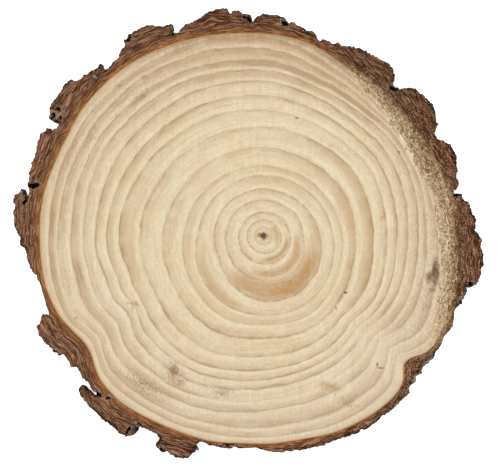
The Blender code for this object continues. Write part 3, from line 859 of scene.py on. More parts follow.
def cut_depth(points, angle, from_wood, to_rim, seed):
    """How far the bark's cut face lies below the saw's plane without its hollows, and its torn share."""
    spot = np.concatenate([points, np.full((len(points), 1), seed * 1.7)], axis=1)
    flat_spot = np.column_stack([points, np.zeros(len(points))])
    ragged = 1.6 * gradient_noise(flat_spot / 4, seed + 11)
    width = 2.6 + 5.2 * arc_window(angle, 10, 40, soft=9)
    torn = arc_window(angle, *TORN_ARC, soft=14) * smoothstep(width + 1.2, width * 0.5, from_wood + ragged)
    uneven = (0.10 + 0.14 * layered_noise(spot / 3.2, seed)) * (1 - torn) * smoothstep(0.0, 1.5, from_wood)
    crumbled = smoothstep(1.7, 0.0, to_rim) * (0.35 + 0.45 * layered_noise(spot / 1.9, seed + 4))
    chips = 0.9 * smoothstep(0.25, 0.7, gradient_noise(spot / 4.5, seed + 9)) * smoothstep(4.5, 0.5, to_rim)
    lumps = torn * torn_lumps(flat_spot)
    beside_wood = smoothstep(0.9, 0.0, from_wood) * 0.06
    shallow = sum(np.clip(depth, 0, 1.5) for depth in (uneven, crumbled, chips, lumps)) + beside_wood
    return np.clip(shallow, 0.0, 2.2), torn


outer_count, inner_count = len(bark_outline), len(inner_outline)
rim_count = outer_count + inner_count
OUTER, INNER = slice(0, outer_count), slice(outer_count, rim_count)     # where they lie in each face
top_angle, top_from_wood, top_to_rim = placed_on_bark(top_points, side_xy[-1])
top_pits, pit_depth, top_lips = hollowed(top_points)
top_depth, top_torn = cut_depth(top_points, top_angle, top_from_wood, top_to_rim, 91)
top_depth = top_depth + pit_depth
top_depth[OUTER] = np.minimum(top_depth[OUTER], RIM_LIMIT)
top_depth[INNER] = np.minimum(top_depth[INNER], SEAM_LIMIT)
low_angle, under_from_wood, under_to_rim = placed_on_bark(under_points, side_xy[0])
under_depth, _ = cut_depth(under_points, low_angle, under_from_wood, under_to_rim, 131)
print("deepest hollow, mm:", top_depth.max().round(2))

# %% [markdown]
# The parts of the bark become one closed mesh: the side, the two cut faces and the wall that hugs the
# wood. The rows where they meet share their points, so the skin has no open edge.

# %% Bark skin
INNER_LEVELS = 4


def between_faces(xy, share, rim):
    """Points of a wall: its outline at shares of the way up between the two cut faces."""
    low, high = under_depth[rim], THICKNESS - top_depth[rim]
    z = share[:, None] * (high - low) + low
    return np.concatenate([np.broadcast_to(xy, (*z.shape, 2)), z[..., None]], axis=-1).reshape(-1, 3)


side_points = between_faces(side_xy, level_share, OUTER)
inner_points = between_faces(inner_outline, np.linspace(0, 1, INNER_LEVELS), INNER)
top_extra = np.column_stack([top_points, THICKNESS - top_depth])[rim_count:]
under_extra = np.column_stack([under_points, under_depth])[rim_count:]
side_size, inner_size = len(side_points), len(inner_points)
top_start = side_size + inner_size
under_start = top_start + len(top_extra)


def renumbered(triangles, level_of_side, level_of_inner, extra_start):
    """Turns a cut face's own point numbers into the whole skin's."""
    table = np.concatenate([
        level_of_side * outer_count + np.arange(outer_count),
        side_size + level_of_inner * inner_count + np.arange(inner_count),
        extra_start + np.arange(triangles.max() + 1 - rim_count),
    ])
    return table[triangles]


def turned_up(triangles, points, up):
    """Makes every triangle of a flat face turn the same way: anticlockwise if up, else clockwise."""
    a, b, c = (points[triangles[:, k], :2] for k in range(3))
    area = (b[:, 0] - a[:, 0]) * (c[:, 1] - a[:, 1]) - (b[:, 1] - a[:, 1]) * (c[:, 0] - a[:, 0])
    return np.where(((area > 0) == up)[:, None], triangles, triangles[:, ::-1])


top_faces = renumbered(
    turned_up(top_triangles, top_points, True), SIDE_LEVELS - 1, INNER_LEVELS - 1, top_start)
under_faces = renumbered(turned_up(under_triangles, under_points, False), 0, 0, under_start)
side_quads = ring_quads(SIDE_LEVELS, outer_count)[:, ::-1]
inner_quads = ring_quads(INNER_LEVELS, inner_count, start=side_size)
bark_vertices = np.concatenate([side_points, inner_points, top_extra, under_extra])
print("points on the bark:", len(bark_vertices))

# %% [markdown]
# The bark's colours follow the same distances. Each is stored once for every point of the skin, in the
# order of its parts: side, inner wall, top face and underside.

# %% Values on the bark
def joined(side=0.0, inner=0.0, top=0.0, under=0.0):
    """One value for every point of the skin, in the order of its parts."""
    return np.concatenate([
        np.broadcast_to(side, (SIDE_LEVELS, outer_count)).ravel(),
        np.broadcast_to(inner, (INNER_LEVELS, inner_count)).ravel(),
        np.broadcast_to(top, len(top_points))[rim_count:],
        np.broadcast_to(under, len(under_points))[rim_count:]])


FAR_FROM_RIM, BARK_TONE = 8.0, 8.0      # on the inner wall and on the underside, in millimetres
top_tone = torn_tone(top_angle, top_from_wood)
near_top = level_share[:, None]
bark_values = {
    "from_wood": joined(side=top_from_wood[OUTER], top=top_from_wood, under=under_from_wood),
    "to_rim": joined(inner=FAR_FROM_RIM, top=top_to_rim, under=under_to_rim),
    # The hollows' share, which the bark's material fills with painted shade.
    "hollow": joined(side=top_pits[OUTER] * smoothstep(0.5, 0.9, near_top), top=top_pits),
    "torn": joined(side=top_torn[OUTER] * smoothstep(0.8, 1.0, near_top), top=top_torn),
    "skin": joined(side=(near_top > 0.005) & (near_top < 0.995)),
    "lip": joined(top=top_lips),
    "pale": joined(top=pale_share(top_points)),
    "torn_tone": joined(side=top_tone[OUTER], top=top_tone, under=BARK_TONE),
    **{key: joined(side=value) for key, value in side_carving_values.items()},
}
bark_piece = mesh_piece(
    "bark_ring", bark_vertices, quads=np.concatenate([side_quads, inner_quads]),
    triangles=np.concatenate([top_faces, under_faces]), sharp=50.0, values=bark_values,
)
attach(bark_piece, "root")
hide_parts("bark")

# %% [markdown]
# ## Crumbs and fibres
# The torn edge is littered with crumbs of wood and lifted fibres that the saw didn't carry off. A particle
# system could scatter them, but here every place is drawn from the torn points of the two pieces that
# are already made, so each crumb sits half sunk in what carries it. A crumb is a lumpy ball of 32 faces
# and a fibre a bent sliver with four sides.

# %% Crumbs
CRUMBS, FIBRES = 1500, 900
CRUMB_SIZE = (0.13, 0.44)               # smallest and largest radius, in millimetres
HIGHEST = THICKNESS - 0.01              # nothing stands above the saw's plane
TORN_ENOUGH = 0.45                      # torn share from which a point carries crumbs
FIBRE_LENGTH, FIBRE_WIDTH = (1.4, 5.0), (0.12, 0.30)
torn_beds = np.concatenate([
    top_rows.reshape(-1, 3)[torn.ravel() > TORN_ENOUGH],
    np.column_stack([top_points, THICKNESS - top_depth])[(top_torn > TORN_ENOUGH) & (top_pits < 0.1)],
])


def ball_of_32():
    """Unit ball from an octahedron: each of its 8 faces cut into 4, all points pushed out to radius 1."""
    corners = np.array([(1, 0, 0), (0, 1, 0), (-1, 0, 0), (0, -1, 0), (0, 0, 1), (0, 0, -1)], float)
    faces = [(k, (k + 1) % 4, 4) for k in range(4)] + [((k + 1) % 4, k, 5) for k in range(4)]
    points = [corners[list(face)] for face in faces]
    middles = [(face + np.roll(face, -1, axis=0)) / 2 for face in points]
    pieces = []
    for face, middle in zip(points, middles):
        pieces += [middle] + [np.array([face[k], middle[k], middle[k - 1]]) for k in range(3)]
    corners, index = np.unique(np.round(np.concatenate(pieces), 6), axis=0, return_inverse=True)
    return corners / np.linalg.norm(corners, axis=1, keepdims=True), index.reshape(-1, 3)


def repeated(faces, points_each, count):
    """Face rows for many copies of one small mesh that follow each other in the point list."""
    return (faces[None] + points_each * np.arange(count)[:, None, None]).reshape(-1, faces.shape[1])


def tone_of(beds):
    """Tone of the torn face at places on it."""
    angle, radius = polar(beds)
    return torn_tone(angle, radius - wood_edge(angle))


rng = np.random.default_rng(201)
ball, ball_faces = ball_of_32()
beds = torn_beds[rng.integers(0, len(torn_beds), CRUMBS)]
size = CRUMB_SIZE[0] + (CRUMB_SIZE[1] - CRUMB_SIZE[0]) * rng.random(CRUMBS) ** 2.2
stretch = rng.uniform(0.6, 1.4, (CRUMBS, 3)) * [0.8, 1.5, 0.9] * size[:, None]
turn = (polar(beds)[0] + rng.normal(0, 0.35, CRUMBS))[:, None]
local = ball[None] * (1 + rng.uniform(-0.22, 0.22, (CRUMBS, len(ball), 1))) * stretch[:, None]
crumb_points = beds[:, None] + np.stack([
    local[..., 0] * np.cos(turn) - local[..., 1] * np.sin(turn),
    local[..., 0] * np.sin(turn) + local[..., 1] * np.cos(turn),
    local[..., 2] + 0.25 * stretch[:, 2:3]], axis=-1)
crumb_points[..., 2] = np.minimum(crumb_points[..., 2], HIGHEST)
crumb_piece = mesh_piece(
    "torn_crumbs", crumb_points.reshape(-1, 3), triangles=repeated(ball_faces, len(ball), CRUMBS),
    values={
        "shade": np.repeat(rng.random(CRUMBS), len(ball)),
        "torn_tone": np.repeat(tone_of(beds), len(ball)),
    },
)

# %% [markdown]
# A fibre is a short spine that lies along the edge and bends a little, with a square section that
# tapers to both ends. All of them are worked out at once: one axis of the array for the fibres, one for
# the steps along the spine and one for the four corners.

# %% Fibres
FIBRE_STEPS = 5
along = np.linspace(-1, 1, FIBRE_STEPS)
beds = torn_beds[rng.integers(0, len(torn_beds), FIBRES)]
heading = polar(beds)[0] + np.pi / 2 + rng.normal(0, 0.2, FIBRES)
reach = 0.5 * rng.uniform(*FIBRE_LENGTH, FIBRES)
width = 0.5 * rng.uniform(*FIBRE_WIDTH, FIBRES)
forward = np.stack([np.cos(heading), np.sin(heading), np.zeros(FIBRES)], axis=1)
aside = np.stack([-np.sin(heading), np.cos(heading), np.zeros(FIBRES)], axis=1)
bend = rng.uniform(-0.5, 0.5, FIBRES)
spine = beds[:, None] + forward[:, None] * (along[:, None] * reach[:, None, None])
spine = spine + aside[:, None] * (bend[:, None] * along**2)[..., None]
spine[..., 2] += 0.06
taper = np.sqrt(np.clip(1 - along**2, 0.02, 1))[:, None]
corner = np.array([(1, 0), (0, 1), (-1, 0), (0, -1)])
fibre_points = spine[:, :, None] + taper[..., None] * width[:, None, None, None] * (
    corner[:, :1] * aside[:, None, None] + corner[:, 1:] * np.array([0, 0, 1.0]))
fibre_points[..., 2] = np.minimum(fibre_points[..., 2], HIGHEST)
points_each = 4 * FIBRE_STEPS
ends = np.array([(3, 2, 1, 0), points_each - 4 + np.arange(4)])
fibre_faces = np.concatenate([ring_quads(FIBRE_STEPS, 4)[:, ::-1], ends])
fibre_piece = mesh_piece(
    "torn_fibres", fibre_points.reshape(-1, 3), quads=repeated(fibre_faces, points_each, FIBRES),
    values={
        "shade": np.repeat(rng.random(FIBRES), points_each),
        "torn_tone": np.repeat(tone_of(beds), points_each),
    },
)
for piece in (crumb_piece, fibre_piece):
    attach(piece, "root")

# %% [markdown]
# ## Building materials
# A material can be clicked together in the Shader Editor, and in a script each node takes a few lines.
# Small helpers keep that readable: one adds a node and connects its inputs, and the others are the sums,
# blends and ramps that every finish here uses. Colours are written as they look in daylight, in 0 to
# 255, and are turned into the amounts of light that a surface sends back under this scene's lamps.

# %% Nodes, sums and colours
LAMP_LEVEL = 1.13       # brightness of a white surface that lies under the lamps


def seen(red, green, blue):
    """Colour of a surface that looks like this under the lamps: decoded, then divided by their level."""
    channels = np.array([red, green, blue]) / 255
    linear = np.where(channels <= 0.04045, channels / 12.92, ((channels + 0.055) / 1.055) ** 2.4)
    return (*(linear / LAMP_LEVEL), 1.0)


def connect(tree, node, inputs):
    """Links each input that is a socket, and sets any other value."""
    for key, value in inputs.items():
        if isinstance(value, bpy.types.NodeSocket):
            tree.links.new(value, node.inputs[key])
        else:
            node.inputs[key].default_value = value


def add(tree, kind, inputs, **settings):
    """Adds a node with its settings and inputs."""
    made = tree.nodes.new(kind)
    for name, value in settings.items():
        setattr(made, name, value)
    connect(tree, made, inputs)
    return made


def sums(tree, operation, *values):
    """One step of arithmetic on values."""
    return add(tree, "ShaderNodeMath", dict(enumerate(values)), operation=operation).outputs[0]


def times(tree, value, *factors):
    """A value times each factor in turn."""
    for factor in factors:
        value = sums(tree, "MULTIPLY", value, factor)
    return value


def plus(tree, value, *more):
    """A value with each of the others added in turn."""
    for other in more:
        value = sums(tree, "ADD", value, other)
    return value


def swing(tree, value, reach):
    """A value of 0 to 1 spread over a reach whose middle is 0."""
    return sums(tree, "MULTIPLY_ADD", value, reach, -reach / 2)


def eased(tree, value, low, high, to_low=0.0, to_high=1.0):
    """Maps a value smoothly from one range to another, held at the ends."""
    return add(tree, "ShaderNodeMapRange", {0: value, 1: low, 2: high, 3: to_low, 4: to_high},
               interpolation_type="SMOOTHSTEP").outputs[0]


def blend(tree, share, first, second, mode="MIX"):
    """Blends two colours by a share."""
    made = add(tree, "ShaderNodeMix", {0: share, 6: first, 7: second}, data_type="RGBA", blend_type=mode)
    return made.outputs[2]


def coated(tree, colour, *coats):
    """Lays coats over a colour in turn. Each is its share and its look: three numbers or a socket."""
    for share, look in coats:
        colour = blend(tree, share, colour, seen(*look) if isinstance(look, tuple) else look)
    return colour


def shaded(tree, colour, shade):
    """Multiplies a colour by a grey."""
    grey = add(tree, "ShaderNodeCombineColor", {0: shade, 1: shade, 2: shade}).outputs[0]
    return blend(tree, 1.0, colour, grey, mode="MULTIPLY")


def ramp(tree, value, stops):
    """Colour or grey by value: stops are (place, look), straight between them."""
    made = add(tree, "ShaderNodeValToRGB", {0: value})
    elements = made.color_ramp.elements
    while len(elements) < len(stops):
        elements.new(0.5)
    for element, (place, look) in zip(elements, stops):
        element.position = place
        element.color = seen(*look) if isinstance(look, tuple) else (look, look, look, 1.0)
    return made.outputs[0]


# %% [markdown]
# Patterns need a place to start from. Here that is the point's own place on the object, in millimetres
# from the pith, so that a pattern keeps its scale and stays put from every side. Wood and bark both
# grow in layers round the trunk, so one helper stretches noise along them and squeezes it across.

# %% Places, patterns and groups
FLAT = (1.0, 1.0, 0.0)      # times this, a place loses its height


def stored(tree, name):
    """A value that the mesh stores on its points."""
    return add(tree, "ShaderNodeAttribute", {}, attribute_name=name).outputs["Fac"]


def vector_sum(tree, operation, first, second=(0.0, 0.0, 0.0)):
    """One step of arithmetic on vectors. Second is a vector, a socket or, for SCALE, a number."""
    key = "Scale" if operation == "SCALE" else 1
    return add(tree, "ShaderNodeVectorMath", {0: first, key: second}, operation=operation).outputs[0]


def length(tree, vector):
    """How long a vector is."""
    return add(tree, "ShaderNodeVectorMath", {0: vector}, operation="LENGTH").outputs["Value"]


def parts(tree, vector):
    """The x, y and z of a vector."""
    return add(tree, "ShaderNodeSeparateXYZ", {0: vector}).outputs


def from_pith(tree):
    """Place in millimetres from the pith, the same without its height, and the direction outwards."""
    place = add(tree, "ShaderNodeTexCoord", {}).outputs["Object"]
    place = vector_sum(tree, "SUBTRACT", vector_sum(tree, "SCALE", place, 1 / MM), (pith[0], pith[1], 0.0))
    flat_place = vector_sum(tree, "MULTIPLY", place, FLAT)
    return place, flat_place, vector_sum(tree, "NORMALIZE", flat_place)


def noise(tree, vector, scale, detail=2.0, roughness=0.5):
    """Blender's noise texture, 0 to 1."""
    return add(tree, "ShaderNodeTexNoise", {
        "Vector": vector, "Scale": scale, "Detail": detail, "Roughness": roughness}).outputs[0]


def round_trunk(tree, outward, depth, along, across, detail, roughness):
    """Noise in layers round the trunk: stretched along them, squeezed the way that depth grows."""
    x, y, _ = parts(tree, vector_sum(tree, "SCALE", outward, along))
    vector = add(tree, "ShaderNodeCombineXYZ", {0: x, 1: y, 2: times(tree, depth, across)}).outputs[0]
    return noise(tree, vector, 1.0, detail, roughness)


def marked(tree, colour, flat_place, grain, marks):
    """Adds small marks: ovals whose edges the grain makes uneven, at their places on the disc."""
    for x, y, half_length, half_width, turned, look, strength in marks:
        moved = add(tree, "ShaderNodeMapping", {
            "Vector": flat_place, "Location": (x, y, 0.0), "Rotation": (0.0, 0.0, np.radians(turned)),
            "Scale": (half_length, half_width, 1.0)}, vector_type="TEXTURE").outputs[0]
        reach = plus(tree, length(tree, moved), swing(tree, grain, 1.0))
        colour = coated(tree, colour, (eased(tree, reach, 1.3, 0.4, 0.0, strength), look))
    return colour


def new_material(name):
    """An empty material, its node tree and its Principled shader."""
    made = bpy.data.materials.new(name)
    made.use_nodes = True
    return made, made.node_tree, made.node_tree.nodes["Principled BSDF"]


def finished(tree, shader, height, strength, depth, inputs):
    """Connects a finish: the shader's inputs by name, and a bump whose depth is in millimetres."""
    bump = add(tree, "ShaderNodeBump", {"Height": height, "Strength": strength, "Distance": depth * MM})
    connect(tree, shader, inputs | {"Normal": bump.outputs[0]})


def group_with(name, inputs, outputs):
    """A node group with named sockets. Returns the tree, its inputs node and its outputs node."""
    tree = bpy.data.node_groups.new(name, "ShaderNodeTree")
    for way, sockets in (("INPUT", inputs), ("OUTPUT", outputs)):
        for socket, kind in sockets.items():
            tree.interface.new_socket(socket, in_out=way, socket_type="NodeSocket" + kind)
    return tree, tree.nodes.new("NodeGroupInput").outputs, tree.nodes.new("NodeGroupOutput").inputs


def placed_group(tree, group, inputs):
    """Puts a node group into a material and connects its inputs."""
    return add(tree, "ShaderNodeGroup", inputs, node_tree=group).outputs


# %% [markdown]
# ## Effects that both finishes share
# The saw left the same fine parallel scratches on wood and bark, and its dust and torn crumbs speckle
# both. At the right the two run into each other without a clear line, so the torn face has one colour
# that goes from cream to brown with the distance past the wood's edge. Each of the three effects is a
# node group, built once and used with each material's own values.

# %% Saw marks and crumbs
saw_group, saw_in, saw_out = group_with("saw_marks", {"Place": "Vector"}, {"Shade": "Float"})
tree = saw_group
fine_stripes = noise(tree, vector_sum(tree, "MULTIPLY", saw_in["Place"], (1.25, 0.035, 1.0)), 1.0, 1.0)
wide_stripes = noise(tree, vector_sum(tree, "MULTIPLY", saw_in["Place"], (0.35, 0.012, 1.0)), 1.0, 2.0)
tree.links.new(
    plus(tree, times(tree, fine_stripes, 0.65), times(tree, wide_stripes, 0.35)), saw_out["Shade"])

crumb_group, crumb_in, crumb_out = group_with(
    "crumbs", {"Place": "Vector", "Scale": "Float"}, {"Pale": "Float", "Dark": "Float"})
crumb_noise = noise(crumb_group, crumb_in["Place"], crumb_in["Scale"], 3.0, 0.7)
crumb_group.links.new(eased(crumb_group, crumb_noise, 0.53, 0.62), crumb_out["Pale"])
crumb_group.links.new(eased(crumb_group, crumb_noise, 0.46, 0.37), crumb_out["Dark"])
print("nodes:", saw_group.name, len(saw_group.nodes), "|", crumb_group.name, len(crumb_group.nodes))

# %% [markdown]
# The torn face's colour comes from a ramp over its tone, which is about how many millimetres it lies
# past the wood's edge. Three noises move the tone about, so that cream and brown mix in patches, in
# streaks along the edge and in crumbs.

# %% Torn face
TONE_START, TONE_SPAN = -8, 18      # the ramp's first tone and its reach, in millimetres
torn_group, torn_in, torn_out = group_with(
    "torn_face", {"Place": "Vector", "Tone": "Float"}, {"Colour": "Color", "Rise": "Float"})
tree = torn_group
patchy_tone = swing(tree, noise(tree, torn_in["Place"], 0.30, 3.0), 10.0)
crumbly_tone = swing(tree, noise(tree, torn_in["Place"], 1.15, 3.0, 0.8), 26.0)
streaky_tone = swing(tree, round_trunk(
    tree, vector_sum(tree, "NORMALIZE", torn_in["Place"]), torn_in["Tone"], 26.0, 0.9, 2.0, 0.6), 17.0)
tone = plus(tree, plus(tree, torn_in["Tone"], streaky_tone), plus(tree, patchy_tone, crumbly_tone))
specks = placed_group(tree, crumb_group, {"Place": torn_in["Place"], "Scale": 1.05})
torn_colour = coated(
    tree,
    ramp(tree, sums(tree, "MULTIPLY_ADD", tone, 1 / TONE_SPAN, -TONE_START / TONE_SPAN), (
        (0.0, (238, 218, 182)), (0.18, (219, 191, 150)), (0.38, (192, 158, 116)),
        (0.56, (162, 125, 86)), (0.72, (132, 94, 61)), (0.95, (92, 59, 36)))),
    (times(tree, specks["Dark"], 0.9), (98, 64, 38)),
    (times(tree, specks["Pale"], eased(tree, torn_in["Tone"], 6.0, -1.0, 0.3, 0.9)), (235, 214, 176)),
)
tree.links.new(torn_colour, torn_out["Colour"])
tree.links.new(crumbly_tone, torn_out["Rise"])
print("nodes:", torn_group.name, len(tree.nodes))

# %% [markdown]
# ## The sawn wood's finish
# Fresh pine is cream, with tan summer lines that are soft on the inside and sharp on the outside. They
# could be a wave texture, but the ring values on the points follow the real lines, so a colour ramp over
# the fraction of a ring draws each year. Noises round the trunk make its lines fade in and out.

# %% Wood patterns
YEAR_THIN = (       # a thin line, soft on its inner side
    (0.0, 0.42), (0.05, 0.14), (0.15, 0.02), (0.38, 0.05), (0.64, 0.18), (0.83, 0.38), (0.925, 0.70),
    (0.968, 1.0), (1.0, 0.60))
YEAR_BROAD = (      # a wide tan band, as the outer years have
    (0.0, 0.46), (0.08, 0.18), (0.20, 0.03), (0.34, 0.10), (0.50, 0.42), (0.66, 0.60), (0.82, 0.54),
    (0.94, 0.82), (1.0, 0.60))
wood_material, tree, shader = new_material("sawn_pine")
place, flat_place, outward = from_pith(tree)
steady = plus(tree, stored(tree, "ring"), swing(tree, noise(tree, place, 0.22, 2.0), 0.14))
year = sums(tree, "FRACT", steady)
bands, streaks, flecks, fading = (
    round_trunk(tree, outward, steady, along, across, detail, 0.55)
    for along, across, detail in ((2.4, 5.5, 3.0), (9.0, 13.0, 2.0), (48.0, 11.0, 2.0), (7.0, 1.6, 2.0)))
clouds = noise(tree, place, 0.045, 3.0)
blush = noise(tree, vector_sum(tree, "ADD", place, (40.0, 90.0, 0.0)), 0.075, 3.0)
grain = noise(tree, place, 0.75, 4.0, 0.65)
saw = placed_group(tree, saw_group, {"Place": place})["Shade"]
line_shape = blend(tree, stored(tree, "broad"), ramp(tree, year, YEAR_THIN), ramp(tree, year, YEAR_BROAD))
patchy = times(tree, eased(tree, fading, 0.32, 0.68, 0.5, 1.15), eased(tree, saw, 0.38, 0.62, 0.86, 1.14))
line_share = times(tree, line_shape, stored(tree, "line"), patchy)
print("wood patterns, nodes so far:", len(tree.nodes))

# %% [markdown]
# The colours are laid on in coats, as a painter would: cream first, then the years' lines, the tones of
# the outer years and the amber reaction wood. Each coat has a share, which says where it shows.

# %% Wood colours
cream = coated(
    tree, blend(tree, eased(tree, clouds, 0.35, 0.65), seen(229, 213, 180), seen(226, 207, 170)),
    (eased(tree, year, 0.46, 0.12, 0.0, 0.34), (236, 223, 194)),
    (eased(tree, blush, 0.48, 0.66, 0.0, 0.5), (224, 200, 168)),
    (eased(tree, bands, 0.42, 0.68, 0.0, 0.36), (206, 174, 134)),
)
outer_value = stored(tree, "outer_years")
edge_lines = times(tree, eased(tree, streaks, 0.52, 0.64), eased(tree, steady, 14.2, 16.0, 0.0, 0.4))
grey_look = blend(tree, eased(tree, flecks, 0.4, 0.62), seen(186, 153, 118), seen(144, 110, 76))
amber = times(tree, stored(tree, "reaction"), eased(tree, streaks, 0.3, 0.66, 0.62, 1.05), 0.84)
amber_look = blend(tree, eased(tree, grain, 0.4, 0.7), seen(192, 151, 101), seen(174, 130, 84))
colour = coated(
    tree, cream,
    (line_share, (180, 148, 110)),
    (times(tree, outer_value, 0.30), (206, 182, 156)),
    (times(tree, outer_value, eased(tree, flecks, 0.54, 0.68, 0.0, 0.55)), (158, 124, 94)),
    (times(tree, stored(tree, "greyer"), 0.24), (222, 207, 184)),
    (edge_lines, (186, 152, 112)),
    (times(tree, stored(tree, "weathered"), 0.85), grey_look),
    (sums(tree, "MINIMUM", amber, 1.0), amber_look),
)
print("wood colours, nodes so far:", len(tree.nodes))

# %% [markdown]
# Stains come next, then the torn face over them, the pale streaks beside it and the tan line where bark
# begins. Knots, specks and the dark pith are ovals placed on the disc, built in a loop from a table.

# %% Stains and small marks
SMALL_MARKS = (     # x, y, half length, half width, direction, look, strength
    (0.2, -0.1, 3.3, 2.6, 0, (196, 162, 122), 0.6),
    (0.1, 0.0, 1.8, 1.75, 0, (80, 54, 42), 1.0),
    (0.3, -0.1, 0.6, 0.6, 0, (150, 120, 98), 0.75),
    (-1.9, 0.7, 1.5, 1.1, 20, (140, 106, 78), 0.75),
    (1.9, -0.4, 1.2, 1.2, 0, (176, 142, 110), 0.5),
    (33.0, -75.5, 6.5, 2.6, 170, (200, 162, 116), 0.5),
    (41.0, -28.3, 0.9, 0.7, 0, (58, 34, 20), 0.95),
    (39.0, -29.8, 0.6, 0.5, 0, (160, 120, 84), 0.5),
    (36.2, -36.0, 0.6, 0.9, 40, (150, 110, 78), 0.55),
    (16.7, 59.0, 0.6, 1.1, 80, (130, 96, 70), 0.75),
    (67.7, 42.0, 0.8, 0.6, 0, (120, 88, 62), 0.75),
    (56.9, -64.4, 0.6, 1.2, 0, (120, 96, 72), 0.8),
    (58.5, -66.0, 1.7, 0.6, -4, (126, 104, 82), 0.75),
    (-65.6, -35.0, 0.6, 2.2, 0, (166, 126, 98), 0.55),
    (-63.6, -33.8, 0.7, 1.8, 30, (150, 108, 82), 0.6),
    (-67.0, -33.6, 1.8, 0.5, 8, (166, 124, 98), 0.5),
    (-60.2, 79.5, 1.4, 0.9, 30, (150, 130, 108), 0.5),
    (-72.0, 75.0, 1.2, 0.8, 0, (142, 122, 100), 0.55),
    (-60.0, 70.0, 1.8, 1.0, 20, (150, 124, 98), 0.55),
    (-94.0, -41.0, 0.9, 0.7, 0, (150, 112, 80), 0.55),
    (88.0, -33.5, 0.6, 0.5, 0, (110, 78, 58), 0.6),
    (63.0, 20.0, 0.8, 0.6, 0, (176, 136, 96), 0.5),
    (59.2, 9.0, 1.4, 1.0, 60, (188, 146, 104), 0.5),
    (33.5, 45.0, 1.8, 1.2, 0, (196, 150, 120), 0.4),
    (45.0, 0.0, 0.5, 0.5, 0, (170, 130, 96), 0.5),
    (22.0, -22.0, 0.6, 0.5, 0, (176, 130, 92), 0.5),
)
HALO_RADIUS = 4.4       # of the tan ring round the pith, in millimetres
hatched = noise(tree, vector_sum(tree, "MULTIPLY", place, (2.2, 0.7, 1.0)), 1.0, 3.0, 0.65)
unevenly = swing(tree, hatched, 2.4)
smudge_reach = plus(tree, stored(tree, "smudge"), times(tree, unevenly, 0.5))
rust_value = stored(tree, "rust")
rust_share = times(tree, eased(tree, plus(tree, rust_value, unevenly), 0.28, 1.15, 0.0, 0.9),
                   eased(tree, rust_value, 0.02, 0.3))
torn_value = stored(tree, "torn")
tone = stored(tree, "torn_tone")
torn_face = placed_group(tree, torn_group, {"Place": place, "Tone": tone})
under_bark = times(tree, eased(tree, tone, -1.2, 0.0, 0.0, 0.75), eased(tree, torn_value, 0.3, 0.0))
colour = coated(
    tree, colour,
    (eased(tree, smudge_reach, 0.1, 0.9, 0.0, 0.95), (100, 68, 46)),
    (rust_share, (150, 112, 82)),
    (torn_value, torn_face["Colour"]),
    (times(tree, stored(tree, "pale"), eased(tree, grain, 0.3, 0.6, 0.3, 1.0), 0.8), (236, 224, 202)),
    (under_bark, (186, 140, 86)),
)
colour = marked(tree, colour, flat_place, grain, SMALL_MARKS)
from_halo = sums(tree, "ABSOLUTE", sums(tree, "SUBTRACT", length(tree, flat_place), HALO_RADIUS))
colour = coated(tree, colour, (eased(tree, from_halo, 1.1, 0.1, 0.0, 0.35), (204, 176, 118)))
print("small marks:", len(SMALL_MARKS))

# %% [markdown]
# Last come the saw's scratches, a light grain and the way the surface takes light. Sawn wood is matt, and
# the dense summer wood is a little glossier. The bump is slight, because the saw's scratches are shallow.

# %% Wood surface
saw_strength = sums(tree, "MULTIPLY_ADD", eased(tree, steady, 5.0, 13.0), 0.26, 0.14)
shade = sums(tree, "MULTIPLY_ADD", sums(tree, "SUBTRACT", saw, 0.5), saw_strength, 1.0)
shade = times(tree, shade, eased(tree, streaks, 0.25, 0.75, 0.96, 1.035),
              eased(tree, grain, 0.25, 0.75, 0.925, 1.07))
height = plus(tree, times(tree, saw, 0.5), times(tree, grain, 0.6))
height = sums(tree, "MULTIPLY_ADD", times(tree, torn_value, torn_face["Rise"]), -0.5, height)
finished(tree, shader, height, 0.25, 0.2, {
    "Base Color": shaded(tree, colour, shade),
    "Roughness": eased(tree, line_share, 0.0, 1.0, 0.74, 0.62),
    "Specular IOR Level": 0.3,
})
wood_piece.data.materials.append(wood_material)
print("wood material nodes:", len(tree.nodes))

# %% [markdown]
# ## The bark's finish
# The cut bark shows fine dark and light layers that run round the trunk. They are noise squeezed across
# the distance from the wood and stretched along it, so they follow the wood's edge. At the right the
# saw left them granular, and dusted them with crumbs.

# %% Bark layers
bark_material, tree, shader = new_material("pine_bark")
place, flat_place, outward = from_pith(tree)
east, north, _ = parts(tree, outward)       # 1 where the bark lies to the right, or to the top
from_wood, to_rim = stored(tree, "from_wood"), stored(tree, "to_rim")
warped = plus(tree, from_wood, swing(tree, noise(tree, place, 0.09, 1.0), 3.6),
              swing(tree, noise(tree, place, 0.35, 1.0), 0.9))
coarse_layers = round_trunk(tree, outward, warped, 9.0, 0.8, 1.0, 0.6)
fine_layers = round_trunk(tree, outward, warped, 20.0, 3.2, 1.0, 0.6)
grain = noise(tree, place, 1.1, 4.0, 0.65)
patches = noise(tree, place, 0.11, 3.0)
layer_mix = sums(tree, "MULTIPLY_ADD", coarse_layers, 0.22, times(tree, fine_layers, 0.78))
layer_mix = plus(tree, layer_mix, times(
    tree, eased(tree, east, 0.3, 0.85, 0.0, 0.35), sums(tree, "SUBTRACT", grain, layer_mix)))
cut = coated(
    tree,
    ramp(tree, layer_mix, (
        (0.425, (50, 22, 5)), (0.475, (86, 51, 29)), (0.525, (114, 76, 51)), (0.57, (192, 143, 110)))),
    # Painted light: the west side of the cut face is lighter, towards the key lamp at the upper left.
    (eased(tree, east, -0.2, -0.9, 0.0, 0.13), (172, 128, 98)),
    (eased(tree, north, 0.35, 0.8, 0.0, 0.22), (60, 38, 26)),
    # Painted shade: the east side of the cut face is darker, away from the key lamp.
    (eased(tree, east, 0.2, 0.7, 0.0, 0.13), (60, 38, 26)),
    (eased(tree, patches, 0.45, 0.7, 0.0, 0.25), (118, 72, 48)),
    (eased(tree, grain, 0.55, 0.68, 0.0, 0.45), (154, 118, 94)),
    (eased(tree, grain, 0.44, 0.33, 0.0, 0.6), (50, 31, 18)),
)
